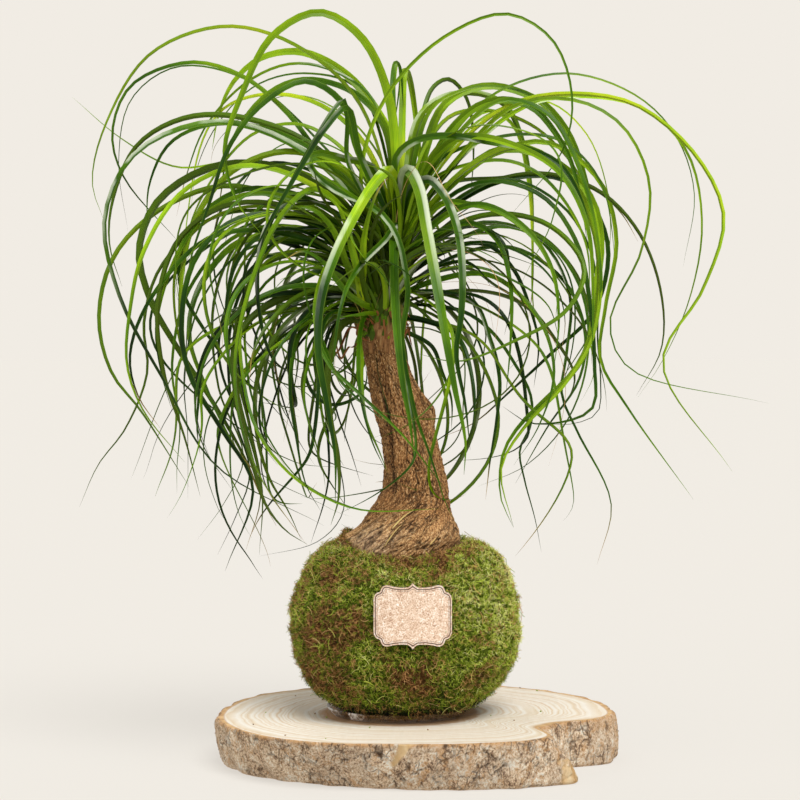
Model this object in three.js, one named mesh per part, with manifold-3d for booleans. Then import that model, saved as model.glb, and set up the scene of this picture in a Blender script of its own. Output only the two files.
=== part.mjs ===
// A ponytail palm grown as a moss ball: a slice of tree trunk with its bark, a clear saucer on it, a ball of
// soil wrapped in moss, a blank card on the moss, the palm's woody trunk and its head of long arching leaves.
// Millimetres, +Z up. The origin is the centre of the slice's flat underside, and -Y is the front.
import * as THREE from 'three';
import { mergeVertices } from 'three/addons/utils/BufferGeometryUtils.js';
import Module from 'manifold-3d';

const wasm = await Module();
wasm.setup();

// Driving dimensions
const sliceThick = 30;
const notchDepth = 27;
const saucerX = -11.5;
const saucerRadius = 47;
const saucerHeight = 5.5;
const saucerWall = 1.5;
const ballX = -8; // the ball stands a little left of the slice's centre
const ballRadius = 73.5;
const mossThick = 8;
const mossMouth = 45; // radius of the ring where the moss stops and soil shows
const cardHalfWidth = 24.4;
const cardHalfHeight = 18.8;
const cardThick = 1.6;
const trunkTop = 270;
const stemTop = 362; // where the youngest leaves leave the head
const stemTopX = -10;
const ruleLeaves = 72; // leaves placed by rule, besides the ones placed one by one
const bladeKeel = 1.3; // depth of a leaf's keel below its flat face
const gap = 0.3; // left between pieces that are cut to fit each other

const saucerFloor = sliceThick + saucerWall;
const ballFoot = saucerFloor + 0.1;

// The same short random sequence every time.
let seed = 2024;
function draw(low, high) {
  seed = (seed * 16807) % 2147483647;
  return low + ((high - low) * seed) / 2147483647;
}

const mix = (a, b, t) => a + (b - a) * t;
const clamp01 = (t) => Math.min(1, Math.max(0, t));
const smooth = (t) => clamp01(t) ** 2 * (3 - 2 * clamp01(t));

// Reads a smooth value between the rows of a table [height, value, value...].
function between(rows, height) {
  let i = 0;
  while (i < rows.length - 2 && height > rows[i + 1][0]) i += 1;
  const t = clamp01((height - rows[i][0]) / (rows[i + 1][0] - rows[i][0]));
  return rows[i].slice(1).map((value, k) => mix(value, rows[i + 1][k + 1], t));
}

// A closed skin over rings of equal count, lowest ring first, anticlockwise seen from above.
// The first and last ring are each closed by a fan to their middle.
function loft(rings) {
  const count = rings[0].length;
  const corners = rings.flat();
  const faces = [];
  for (let r = 0; r < rings.length - 1; r++)
    for (let k = 0; k < count; k++) {
      const a = r * count + k;
      const b = r * count + ((k + 1) % count);
      faces.push(a, b, b + count, a, b + count, a + count);
    }
  const middle = (ring) =>
    ring.reduce((sum, p) => sum.add(p), new THREE.Vector3()).divideScalar(count);
  const low = corners.push(middle(rings[0])) - 1;
  const high = corners.push(middle(rings[rings.length - 1])) - 1;
  const lastRing = (rings.length - 1) * count;
  for (let k = 0; k < count; k++) {
    const next = (k + 1) % count;
    faces.push(low, next, k, high, lastRing + k, lastRing + next);
  }
  return new THREE.BufferGeometry().setFromPoints(corners).setIndex(faces);
}

// A level ring at one height, with its radius a function of the angle.
function ring(z, sides, centreX, centreY, radiusAt) {
  return Array.from({ length: sides }, (_, k) => {
    const angle = (k / sides) * 2 * Math.PI;
    const r = radiusAt(angle);
    return new THREE.Vector3(centreX + r * Math.cos(angle), centreY + r * Math.sin(angle), z);
  });
}

function solidOf(geometry) {
  const bare = geometry.clone();
  bare.deleteAttribute('normal');
  bare.deleteAttribute('uv');
  const merged = mergeVertices(bare, 1e-4);
  return new wasm.Manifold(
    new wasm.Mesh({
      numProp: 3,
      vertProperties: merged.attributes.position.array,
      triVerts: new Uint32Array(merged.index.array),
    }),
  );
}

function geometryOf(solid) {
  const mesh = solid.getMesh();
  const places = new Float32Array(mesh.vertProperties);
  // Two corners where leaves touch can share one place: the later one is lifted clear of it by a hair.
  const taken = new Set();
  for (let i = 0; i < places.length; i += 3) {
    const place = () => [...places.subarray(i, i + 3)].map((value) => value.toFixed(3)).join();
    while (taken.has(place())) places[i + 2] += 0.01;
    taken.add(place());
  }
  return new THREE.BufferGeometry()
    .setAttribute('position', new THREE.BufferAttribute(places, 3))
    .setIndex(new THREE.BufferAttribute(new Uint32Array(mesh.triVerts), 1));
}

const plant = new THREE.Group();

function addPiece(name, geometry, color, roughness, extra = {}) {
  const material = new THREE.MeshStandardMaterial({ color, roughness, metalness: 0, ...extra });
  const mesh = new THREE.Mesh(geometry, material);
  mesh.name = name;
  plant.add(mesh);
}

// Slice of trunk: [angle in degrees, radius at the underside, radius at the top], right round from the back left.
const sliceRows = [
  [-180, 126, 128],
  [-167, 124, 129.5],
  [-150, 119, 130],
  [-133, 109, 129.5],
  [-118, 104, 126],
  [-103, 102, 119],
  [-90, 104, 117],
  [-73, 108, 119],
  [-57, 117, 123],
  [-38, 128, 122],
  [-16, 128, 123],
  [0, 128, 127],
  [26, 129, 131],
  [63, 129, 131],
  [90, 130, 132],
  [124, 127, 129],
  [144, 128, 132],
  [166, 126, 128],
  [180, 126, 128],
];
// A bark-lined notch at the front right slants from top to underside.
const notchTop = THREE.MathUtils.degToRad(-33);
const notchUnder = THREE.MathUtils.degToRad(-22);

function sliceEdge(angle, z) {
  const up = z / sliceThick;
  const degrees = THREE.MathUtils.radToDeg(Math.atan2(Math.sin(angle), Math.cos(angle)));
  const [under, top] = between(sliceRows, degrees);
  let away = angle - mix(notchUnder, notchTop, up);
  away = Math.atan2(Math.sin(away), Math.cos(away));
  const flank = away < 0 ? 0.2 : mix(0.2, 0.34, up); // the notch is steep on its front side
  const notch = notchDepth * Math.exp(-((Math.abs(away) / flank) ** 3));
  const furrows = 0.9 * Math.sin(23 * angle + 1.2 * up) + 0.6 * Math.sin(41 * angle - 0.8 * up);
  const belly = 1.8 * Math.sin(Math.PI * up);
  return mix(under, top, up) + belly + furrows - notch;
}

const sliceHeights = [0, 2, 9, 16, 23, 28, sliceThick];
const sliceRings = sliceHeights.map((z) => {
  const worn = z === 0 || z === sliceThick ? 1.6 : 0; // the sawn edges are slightly broken
  return ring(z, 80, 0, 0, (angle) => sliceEdge(angle, z) - worn);
});
addPiece('wood_slice', loft(sliceRings), 0x9c8468, 0.9);

// Clear saucer under the ball: a flat floor and a low flaring rim.
const saucerProfile = [
  [0, sliceThick],
  [saucerRadius - 5, sliceThick],
  [saucerRadius - 1, sliceThick + saucerHeight * 0.5],
  [saucerRadius, sliceThick + saucerHeight],
  [saucerRadius - saucerWall, sliceThick + saucerHeight],
  [saucerRadius - 2.6, sliceThick + saucerHeight * 0.6],
  [saucerRadius - 6, saucerFloor],
  [0, saucerFloor],
];
const saucer = new THREE.LatheGeometry(saucerProfile.map(([r, y]) => new THREE.Vector2(r, y)), 36);
saucer.rotateX(Math.PI / 2);
saucer.translate(saucerX, 0, 0);
addPiece('saucer', saucer, 0xe8ecea, 0.08, { transparent: true, opacity: 0.35 });

// Moss ball: [height, radius], from its flat foot in the saucer to the ring round the trunk.
const ballRows = [
  [ballFoot, 35],
  [35.8, 41],
  [39, 48],
  [45, 57.5],
  [52, 63],
  [58, 66.5],
  [65, 70],
  [73, 72.5],
  [83, ballRadius],
  [94, ballRadius],
  [104, 72.2],
  [112, 69.5],
  [122, 66],
  [129, 62],
  [136, 55],
  [139, 49],
  [142, 40],
];
const ballSides = 30;
const ballWaist = 90;

// The ball's profile drawn in from its surface by a distance, as far up as the mouth of the moss.
function ballProfile(inset, mouth) {
  return ballRows
    .map(([z, r], i) => {
      const [lowZ, lowR] = ballRows[Math.max(0, i - 1)];
      const [highZ, highR] = ballRows[Math.min(ballRows.length - 1, i + 1)];
      const slope = inset / Math.hypot(highZ - lowZ, highR - lowR);
      return [z + slope * (highR - lowR), r - slope * (highZ - lowZ)];
    })
    .filter(([z, r]) => z < ballWaist || r > mouth);
}

const ballRing = (z, r, swell = () => 0) => ring(z, ballSides, ballX, 0, (angle) => r + swell(angle, z));

// Trunk: [height, centre x, centre y, radius], from the buried foot to the sawn top.
const trunkRows = [
  [112, -16, 0, 16],
  [116, -15, 0, 26],
  [124, -13, 0, 34],
  [136, -11, 0, 37.5],
  [143, -10.5, 0, 37],
  [152, -9, 0, 32.8],
  [159, -6.3, 0, 28],
  [166, -3.4, 0, 24],
  [174, -1.4, 1, 21],
  [190, -2.2, 1, 18.4],
  [208, -5.2, 1, 17.4],
  [222, -9.5, 1, 17.6],
  [238, -14.5, 0, 15.6],
  [252, -19, 0, 13.6],
  [264, -22.5, 0, 12.2],
  [trunkTop, -24, 0, 12],
];
const trunkSides = 32;
const soilLine = 140.4; // the bark's ridges begin here, just above the soil

// Small raised places on the trunk: [angle in degrees, height, how far out, width in radians, half height].
const trunkKnots = [
  [0, 227, 4.8, 0.5, 9],
  [200, 145.5, 6.5, 0.5, 5.5],
  [325, 149, 5, 0.55, 9],
  [80, 205, 3, 0.5, 10],
];

function trunkRing(z, grow, smoothBark) {
  const [x, y, radius] = between(trunkRows, z);
  const bark = smoothBark ? 0 : 1;
  return ring(z, trunkSides, x, y, (angle) => {
    const twist = angle - 0.012 * (z - soilLine); // the bark's ridges wind slowly round
    const ridges = 0.035 * radius * Math.sin(8 * twist) + 0.5 * Math.sin(13 * twist + 1);
    const knots = trunkKnots.reduce((sum, [degrees, height, out, wide, tall]) => {
      let away = angle - THREE.MathUtils.degToRad(degrees);
      away = Math.atan2(Math.sin(away), Math.cos(away));
      return sum + out * Math.exp(-((away / wide) ** 2) - ((z - height) / tall) ** 2);
    }, 0);
    return radius + grow + bark * (ridges + knots);
  });
}

const trunkRings = [
  ...[112, 116, 124, 132, soilLine].map((z) => trunkRing(z, 0, true)),
  ...[143, 147.5, 152, 157, 162, 168, 175, 184, 194, 204, 214, 222, 229, 236, 246, 258, trunkTop].map((z) =>
    trunkRing(z, 0, false),
  ),
];
addPiece('trunk', loft(trunkRings), 0x8a6a4a, 0.95);

// Soil inside the moss, with a plain hole that the foot of the trunk stands in.
const soilRings = [
  ...ballProfile(mossThick + gap, mossMouth + 0.3).map(([z, r]) => ballRing(z, r)),
  ballRing(soilLine - 8, mossMouth - gap - 0.2),
  ballRing(soilLine - 3, mossMouth - gap - 0.2),
  ballRing(soilLine - 1.4, mossMouth - 5),
];
const footHole = [
  trunkRing(112 - gap, 0.2, true),
  ...[116, 124, 132, soilLine].map((z) => trunkRing(z, gap + 0.1, true)),
  trunkRing(soilLine + 6, 3, true),
];
const soil = solidOf(loft(soilRings)).subtract(solidOf(loft(footHole)));
addPiece('soil_ball', geometryOf(soil), 0x4a3524, 1);

// Moss wrapped round the soil: a thick lumpy coat, open at the top where the trunk comes out.
function mossLumps(angle, z) {
  const low = Math.sin(3 * angle + 0.06 * z) * Math.cos(2 * angle - 0.05 * z);
  const fine = Math.sin(9 * angle + 0.21 * z) * Math.sin(7 * angle - 0.17 * z);
  return smooth((z - ballFoot - 4) / 12) * (1.1 * low + 0.7 * fine);
}

const mossRings = [
  ...ballProfile(0, mossMouth + 2).map(([z, r]) => ballRing(z, r, mossLumps)),
  ballRing(140.2, mossMouth + 1.4),
  ballRing(139.2, mossMouth),
  ballRing(132.6, mossMouth),
  ...ballProfile(mossThick, mossMouth).map(([z, r]) => ballRing(z, r)).reverse(),
];
addPiece('moss_cover', loft(mossRings), 0x5f7a26, 1);

// Card on the front of the moss: a bracket-shaped outline, bent gently round the ball.
// [distance from the middle as a share of half the width, half height there as a share], along half of the top.
const cardEdge = [
  [0, 1.09],
  [0.047, 1.0],
  [0.13, 0.93],
  [0.31, 0.925],
  [0.485, 0.95],
  [0.6, 0.99],
  [0.68, 1.0],
  [0.75, 0.97],
  [0.795, 0.9],
  [0.825, 0.79],
  [0.86, 0.765],
  [0.91, 0.75],
  [0.955, 0.7],
  [0.985, 0.63],
  [1, 0.54],
];
const cardBend = 80; // radius that the card is bent to
const cardZ = 101.7;
const cardX = -3.4;
const cardColumns = [...cardEdge.slice(1).map(([x, h]) => [-x, h]).reverse(), ...cardEdge];

function cardGeometry() {
  const front = -(ballRadius + 2.6 + cardThick);
  const column = ([x, share]) => {
    const turn = (x * cardHalfWidth) / cardBend;
    const half = share * cardHalfHeight;
    const at = (depth, z) =>
      new THREE.Vector3(
        cardX + Math.sin(turn) * (cardBend - depth),
        front + cardBend - Math.cos(turn) * (cardBend - depth),
        cardZ + z,
      );
    return [at(0, -half), at(cardThick, -half), at(cardThick, half), at(0, half)];
  };
  const columns = cardColumns.map(column);
  const corners = columns.flat();
  const faces = [];
  for (let c = 0; c < columns.length - 1; c++)
    for (let k = 0; k < 4; k++) {
      const a = c * 4 + k;
      const b = c * 4 + ((k + 1) % 4);
      faces.push(a, b + 4, a + 4, a, b, b + 4);
    }
  const last = corners.length - 4;
  faces.push(0, 2, 1, 0, 3, 2, last, last + 1, last + 2, last, last + 2, last + 3);
  return new THREE.BufferGeometry().setFromPoints(corners).setIndex(faces);
}
addPiece('card', cardGeometry(), 0xdcc3a2, 0.85);

// Leaves. Each midrib is a smooth line through a few places, and each blade is a flat face with a keel under it.
const stemX = (z) => mix(-24, stemTopX, (z - trunkTop) / (stemTop - trunkTop));

// The leaves that draw the head's outline: [width, depth of the tip, height on the stem, then [x, z] places].
// A depth is how far the tip stands behind the stem, or in front of it when negative, times leafReach.
// The places are as seen from a point viewFar in front of the stem, and are spread to suit their depth.
const leafReach = 1.7;
const viewFar = 1450;
const viewX = -11;
const viewZ = 265;
const placedLeaves = [
  // left, tall arches
  [9, -18, 352, [-18, 425], [-36, 465], [-63, 481], [-93, 466], [-113, 428], [-124, 392], [-116, 360], [-98, 336]],
  [7, 12, 350, [-38, 424], [-80, 461], [-125, 472], [-172, 454], [-200, 410], [-209, 372], [-201, 346]],
  [7, 30, 335, [-52, 374], [-84, 417], [-114, 441], [-147, 449], [-184, 434], [-196, 404], [-189, 376], [-152, 332]],
  [3, 42, 340, [-60, 395], [-110, 438], [-155, 446], [-184, 425], [-192, 385], [-186, 340]],
  [8, -22, 345, [-38, 392], [-49, 424], [-72, 437], [-100, 422], [-121, 395], [-134, 358], [-146, 322], [-150, 290]],
  [4, 30, 352, [-28, 424], [-55, 444], [-82, 448], [-110, 436], [-136, 408], [-148, 378], [-155, 350]],
  [4, 48, 350, [-36, 430], [-72, 442], [-104, 434], [-128, 410], [-142, 380], [-146, 350]],
  [7, -42, 340, [-37, 390], [-45, 420], [-59, 407], [-76, 380], [-96, 345], [-112, 312]],
  // left, wide arches
  [8, -25, 322, [-62, 384], [-125, 411], [-180, 392], [-201, 350], [-192, 300], [-164, 246], [-130, 190], [-60, 151]],
  [7, 20, 330, [-60, 390], [-105, 412], [-147, 414], [-180, 396], [-196, 360], [-198, 332], [-190, 305]],
  [6, -10, 326, [-66, 392], [-122, 410], [-157, 399], [-172, 372], [-174, 338]],
  [6, -32, 312, [-55, 362], [-108, 383], [-150, 367], [-176, 328], [-185, 290], [-187, 255], [-177, 226], [-150, 192]],
  [6, 25, 302, [-68, 350], [-120, 370], [-165, 355], [-195, 325], [-205, 285], [-197, 250], [-178, 225], [-147, 176]],
  [4, 15, 306, [-80, 350], [-130, 350], [-165, 318], [-176, 282], [-174, 250], [-188, 214], [-206, 190], [-218, 163]],
  [3, 35, 318, [-60, 372], [-110, 386], [-155, 382], [-190, 400], [-222, 427]],
  [7, 15, 330, [-40, 385], [-74, 409], [-104, 404], [-128, 380], [-147, 342], [-150, 308]],
  [7, -12, 318, [-42, 376], [-82, 392], [-118, 380], [-142, 350], [-152, 308], [-150, 262], [-134, 226]],
  // left, lower arches
  [8, -36, 304, [-64, 345], [-112, 350], [-142, 325], [-152, 280], [-146, 247], [-126, 213], [-106, 176], [-124, 122]],
  [7, -18, 308, [-70, 352], [-120, 358], [-153, 336], [-167, 295], [-163, 248], [-150, 208], [-140, 170]],
  [6, -42, 292, [-68, 306], [-104, 297], [-132, 268], [-143, 232], [-139, 205], [-118, 172]],
  [7, -46, 296, [-64, 303], [-92, 286], [-106, 262], [-108, 246]],
  [5, 40, 320, [-55, 372], [-98, 384], [-126, 355], [-131, 318], [-122, 285], [-105, 262]],
  [6, -15, 306, [-60, 352], [-105, 365], [-138, 350], [-158, 318], [-168, 280], [-165, 250], [-158, 225]],
  [5, 45, 310, [-60, 350], [-105, 345], [-130, 300], [-128, 240], [-112, 195], [-125, 165], [-142, 142]],
  [5, 52, 306, [-50, 340], [-90, 335], [-118, 290], [-120, 230], [-108, 185], [-118, 155], [-129, 132]],
  [6, -52, 290, [-57, 298], [-76, 275], [-82, 240], [-78, 208], [-72, 178], [-62, 160]],
  [6, -56, 286, [-52, 289], [-68, 262], [-73, 235], [-67, 205], [-60, 185]],
  [7, -20, 300, [-70, 335], [-130, 338], [-170, 300], [-185, 262], [-180, 235], [-165, 213]],
  [7, -30, 290, [-60, 300], [-100, 298], [-132, 272], [-143, 240], [-141, 215], [-134, 196]],
  [8, 12, 296, [-60, 330], [-112, 335], [-140, 305], [-147, 275], [-136, 240], [-118, 203], [-100, 180]],
  [6, 38, 292, [-55, 320], [-95, 325], [-120, 298], [-128, 262], [-116, 225], [-90, 190]],
  // in front of the stem
  [9, -76, 322, [-15, 360], [-25, 376], [-42, 348], [-56, 312], [-66, 275], [-61, 236], [-53, 200], [-53, 165]],
  [9, -62, 306, [-44, 350], [-66, 368], [-88, 350], [-106, 310], [-117, 262], [-115, 222], [-101, 182], [-74, 142]],
  [8, -72, 328, [-13, 362], [-8, 379], [3, 362], [11, 325], [17, 285], [24, 242], [31, 205], [30, 184]],
  [8, -64, 324, [-5, 362], [8, 373], [21, 352], [29, 318], [29, 285], [28, 258], [35, 230], [34, 202]],
  [8, -66, 312, [-14, 344], [-16, 349], [-15, 322], [-14, 280], [-9, 243], [3, 211], [25, 160]],
  [7, -62, 300, [-38, 330], [-56, 322], [-66, 290], [-58, 257], [-36, 235], [-9, 209], [20, 172]],
  [6, -48, 322, [-20, 345], [-48, 368], [-66, 381], [-68, 391]],
  [5, -50, 284, [-33, 287], [-38, 262], [-36, 232], [-29, 205], [-20, 186]],
  [5, -52, 302, [-62, 328], [-96, 322], [-113, 285], [-112, 245], [-102, 210], [-78, 181], [-40, 162], [16, 162]],
  // top, bending back
  [8, 82, 352, [-10, 405], [-8, 444], [-4, 434], [2, 384], [6, 320]],
  [5, 62, 350, [-16, 420], [-13, 449], [-11, 440], [-16, 400]],
  [6, 32, 350, [2, 410], [10, 433], [21, 438], [32, 425], [36, 395], [34, 360]],
  // right, tall arches
  [6, -20, 318, [-36, 366], [-32, 400], [-14, 436], [20, 467], [57, 480], [86, 464], [99, 430], [94, 394], [60, 351]],
  [5, 18, 345, [15, 392], [48, 428], [95, 442], [140, 428], [166, 402], [178, 365], [171, 318]],
  [6, -12, 342, [30, 400], [65, 424], [105, 429], [142, 421], [180, 388], [197, 350], [184, 304], [158, 256], [203, 186]],
  [5, 10, 340, [36, 396], [72, 422], [112, 427], [148, 418], [174, 390], [183, 345], [175, 297], [157, 256], [142, 234]],
  [7, -28, 338, [28, 390], [62, 421], [100, 425], [131, 409], [149, 372], [144, 328], [124, 282], [136, 253], [226, 230]],
  [7, 15, 348, [8, 418], [28, 431], [50, 434], [78, 425], [100, 395], [112, 352]],
  [8, -30, 344, [22, 398], [54, 425], [84, 416], [103, 384], [114, 345], [118, 300], [110, 262]],
  [4, 42, 346, [40, 412], [82, 424], [108, 404], [121, 372], [124, 335], [118, 300]],
  [6, 40, 344, [20, 395], [45, 418], [62, 408], [71, 375], [74, 335], [74, 300], [78, 265]],
  // right, wide and lower arches
  [5, 22, 318, [30, 364], [76, 378], [116, 367], [143, 339], [157, 300], [157, 265], [141, 235]],
  [8, -46, 338, [6, 382], [28, 401], [62, 396], [92, 378], [109, 345], [113, 300], [112, 255]],
  [8, -25, 322, [22, 364], [50, 373], [82, 362], [103, 332], [111, 295], [114, 255], [112, 226], [74, 217], [55, 228]],
  [7, -40, 312, [14, 348], [40, 358], [68, 344], [86, 318], [91, 285], [88, 252]],
  [6, 15, 304, [24, 334], [56, 344], [88, 330], [107, 298], [109, 255], [96, 218], [70, 190], [38, 176]],
  [8, -38, 330, [30, 380], [68, 395], [100, 372], [116, 330], [113, 275], [95, 243], [70, 216], [54, 188], [62, 150]],
  [6, 28, 334, [38, 384], [82, 398], [117, 373], [128, 335], [121, 292], [118, 258], [135, 228], [178, 168]],
  [5, 30, 308, [38, 346], [78, 336], [98, 300], [96, 262], [93, 236], [103, 212], [125, 165], [116, 126]],
  [6, -46, 316, [38, 350], [82, 346], [107, 318], [96, 290], [62, 270], [26, 257], [0, 262]],
  [6, 32, 326, [50, 372], [98, 372], [122, 335], [114, 290], [86, 262], [60, 238], [36, 217], [15, 208]],
  [7, -30, 310, [14, 340], [35, 346], [52, 334], [60, 305], [60, 270], [57, 235]],
  [6, 12, 302, [22, 330], [45, 332], [62, 316], [73, 290], [78, 268], [75, 240]],
  [5, 2, 296, [10, 314], [36, 318], [62, 309], [84, 293], [92, 268]],
  [7, 25, 296, [25, 325], [62, 330], [95, 308], [108, 275], [104, 245], [84, 215], [63, 178]],
  [6, -38, 294, [15, 310], [48, 312], [78, 285], [88, 250], [78, 215], [62, 190]],
];

function placedMidrib([, depth, height, ...places]) {
  const steps = places.length;
  return [
    new THREE.Vector3(stemX(height), 0, height),
    ...places.map(([x, z], i) => {
      const y = depth * leafReach * (1 - (1 - (i + 1) / steps) ** 2); // most of the depth is gained near the stem
      const spread = 1 + y / viewFar;
      return new THREE.Vector3(viewX + (x - viewX) * spread, y, viewZ + (z - viewZ) * spread);
    }),
  ];
}

// A leaf by rule. age is 0 for the lowest leaf on the stem and 1 for the youngest.
function ruleMidrib(i) {
  const age = (i + 0.5) / ruleLeaves;
  const goldenTurn = 2.39996;
  let heading = i * goldenTurn + draw(-0.25, 0.25);
  const height = mix(trunkTop + 10, stemTop - 8, age ** 0.9);
  // Few leaves hang straight down in front of the trunk: those headings are turned to either side.
  const front = Math.atan2(Math.cos(heading), -Math.sin(heading)); // 0 is straight to the front
  if (Math.abs(front) < 0.5) heading += Math.sign(front || 1) * (0.65 - Math.abs(front));
  const deep = Math.abs(Math.sin(heading)); // leaves to the front and back are the long ones here
  const rise = mix(4, 62, age) * draw(0.75, 1.25);
  const apexReach = mix(40, 58, age) * draw(0.75, 1.25) * mix(0.9, 1.15, deep);
  const reach = apexReach + mix(28, 62, age ** 0.6) * draw(0.75, 1.3) * mix(0.8, 1.35, deep);
  const drop = mix(85, 190, age) * draw(0.8, 1.25);
  const turn = draw(-0.4, 0.4);
  const curl = draw(0.66, 1.12);
  const longer = 1 - 0.2 * Math.cos(heading); // the head is fuller to its left
  const out = (distance, up, share) => {
    const way = heading + turn * share;
    return new THREE.Vector3(
      stemX(height) + longer * distance * Math.cos(way),
      longer * distance * Math.sin(way),
      height + up,
    );
  };
  return [
    out(0, 0, 0),
    out(apexReach * 0.42, rise * 0.72, 0),
    out(apexReach, rise, 0.1),
    out(mix(apexReach, reach, 0.66), rise - drop * 0.17, 0.3),
    out(reach, rise - drop * 0.56, 0.6),
    out(reach * curl, rise - drop, 1),
  ];
}

// Width of a blade along its length, as a share of its full width: a broad clasping base and a long fine tip.
const bladeShare = [
  [0, 1.35],
  [0.08, 1.0],
  [0.35, 0.92],
  [0.65, 0.66],
  [0.88, 0.3],
  [1, 0],
];

function bladeSolid(midrib, width, steps) {
  const spine = new THREE.CatmullRomCurve3(midrib).getSpacedPoints(steps);
  const first = spine[1].clone().sub(spine[0]);
  let side = new THREE.Vector3(-first.y, first.x, 0);
  if (side.lengthSq() < 1e-3) side.set(1, 0, 0);
  side.normalize();
  const roll = draw(-0.9, 0.9);
  const corners = [];
  for (let s = 0; s < steps; s++) {
    const along = spine[s + 1].clone().sub(spine[Math.max(0, s - 1)]).normalize();
    side.addScaledVector(along, -side.dot(along)).normalize();
    const turned = side.clone().applyAxisAngle(along, roll * smooth(s / steps));
    const face = new THREE.Vector3().crossVectors(along, turned);
    const half = (width / 2) * between(bladeShare, s / steps)[0];
    corners.push(
      spine[s].clone().addScaledVector(turned, -half),
      spine[s].clone().addScaledVector(face, -bladeKeel * mix(1, 0.7, s / steps)),
      spine[s].clone().addScaledVector(turned, half),
    );
  }
  const tip = corners.push(spine[steps]) - 1;
  const faces = [0, 2, 1];
  for (let s = 0; s < steps - 1; s++)
    for (let k = 0; k < 3; k++) {
      const a = s * 3 + k;
      const b = s * 3 + ((k + 1) % 3);
      faces.push(a, b, b + 3, a, b + 3, a + 3);
    }
  const end = (steps - 1) * 3;
  faces.push(end, end + 1, tip, end + 1, end + 2, tip, end + 2, end, tip);
  const solid = solidOf(new THREE.BufferGeometry().setFromPoints(corners).setIndex(faces));
  return solid;
}

// The stem inside the head of leaves, and a second shorter shoot at its left.
const stemRings = [
  [trunkTop + gap, 12.5],
  [trunkTop + 10, 17],
  [302, 19],
  [324, 16],
  [346, 11],
  [stemTop, 5],
].map(([z, r]) => ring(z, 14, stemX(z), 0, () => r));
const shootRings = [
  [trunkTop + 6, -30, 8],
  [300, -36, 7],
  [318, -38, 3],
].map(([z, x, r]) => ring(z, 8, x, -2, () => r));

const blades = [
  ...placedLeaves.map((leaf) => bladeSolid(placedMidrib(leaf), leaf[0], leaf.length + 1)),
  ...Array.from({ length: ruleLeaves }, (_, i) => bladeSolid(ruleMidrib(i), draw(4, 7), 6)),
];
const crown = wasm.Manifold.union([solidOf(loft(stemRings)), solidOf(loft(shootRings)), ...blades]);
// Only the outer skin is kept, so the small pockets shut in between leaf bases are solid.
const [crownSkin] = crown
  .asOriginal()
  .simplify(0.2)
  .decompose()
  .sort((a, b) => b.volume() - a.volume());
addPiece('leaf_crown', geometryOf(crownSkin), 0x4f8a1f, 0.5);

export default plant;
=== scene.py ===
import math
import random

import bpy
import numpy as np
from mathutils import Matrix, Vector, noise


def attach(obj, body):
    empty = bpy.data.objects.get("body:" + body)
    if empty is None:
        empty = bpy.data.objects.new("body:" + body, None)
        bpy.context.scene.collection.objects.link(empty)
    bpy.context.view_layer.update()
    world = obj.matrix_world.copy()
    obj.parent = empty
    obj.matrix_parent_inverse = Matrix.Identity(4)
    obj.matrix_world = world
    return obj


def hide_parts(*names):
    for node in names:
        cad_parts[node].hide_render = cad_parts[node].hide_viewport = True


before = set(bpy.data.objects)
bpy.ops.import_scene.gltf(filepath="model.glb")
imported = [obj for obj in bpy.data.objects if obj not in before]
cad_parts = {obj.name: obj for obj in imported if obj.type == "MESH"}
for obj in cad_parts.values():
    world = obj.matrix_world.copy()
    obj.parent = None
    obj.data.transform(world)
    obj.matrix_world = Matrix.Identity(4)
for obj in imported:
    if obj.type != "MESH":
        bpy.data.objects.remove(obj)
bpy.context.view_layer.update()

mm = 0.001
# noise_vector, which bends leaves and bark, starts from the clock unless it is given a seed
bendSeed = 1795553030
noise.seed_set(bendSeed)
scene = bpy.context.scene


def paint(code, alpha=1.0):  # a hex colour as Blender's linear values
    parts = [int(code[i:i + 2], 16) / 255 for i in (1, 3, 5)]
    return tuple(p / 12.92 if p <= 0.04045 else ((p + 0.055) / 1.055) ** 2.4 for p in parts) + (alpha,)


def smooth(t):
    t = np.clip(t, 0.0, 1.0)
    return t * t * (3 - 2 * t)


def ease(t):
    return float(smooth(t))


def wire(tree, kind, inputs=None, **settings):
    # adds one node, sets its options, then fills or links its inputs
    node = tree.nodes.new(kind)
    for key, value in settings.items():
        setattr(node, key, value)
    for key, value in (inputs or {}).items():
        if isinstance(value, bpy.types.NodeSocket):
            tree.links.new(value, node.inputs[key])
        else:
            node.inputs[key].default_value = value
    return node


def made(tree, kind, inputs=None, **settings):
    return wire(tree, kind, inputs, **settings).outputs[0]


def sums(tree, operation, a, b=0.0, c=0.0):
    return made(tree, "ShaderNodeMath", {0: a, 1: b, 2: c}, operation=operation)


def times(tree, a, b):
    return sums(tree, "MULTIPLY", a, b)


def timesPlus(tree, a, b, c):
    return sums(tree, "MULTIPLY_ADD", a, b, c)


def axis(tree, vector, index):
    return wire(tree, "ShaderNodeSeparateXYZ", {0: vector}).outputs[index]


def ownPlace(tree):  # where a point lies on its own object, in metres
    return wire(tree, "ShaderNodeTexCoord").outputs["Object"]


def keepOn(tree, geometry, name, value):
    return made(tree, "GeometryNodeStoreNamedAttribute", {"Geometry": geometry, "Name": name, "Value": value})


def feed(tree, shader, value, socket="Base Color"):
    tree.links.new(value, shader.inputs[socket])


def addLayer(mesh, name, values, kind="FLOAT"):
    # one value for each corner, kept under a name for a material or a tree to read
    field, number = "vector" if kind == "FLOAT_VECTOR" else "value", np.int32 if kind == "INT" else np.float32
    mesh.attributes.new(name, kind, "POINT").data.foreach_set(field, np.asarray(values, number).ravel())


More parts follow.
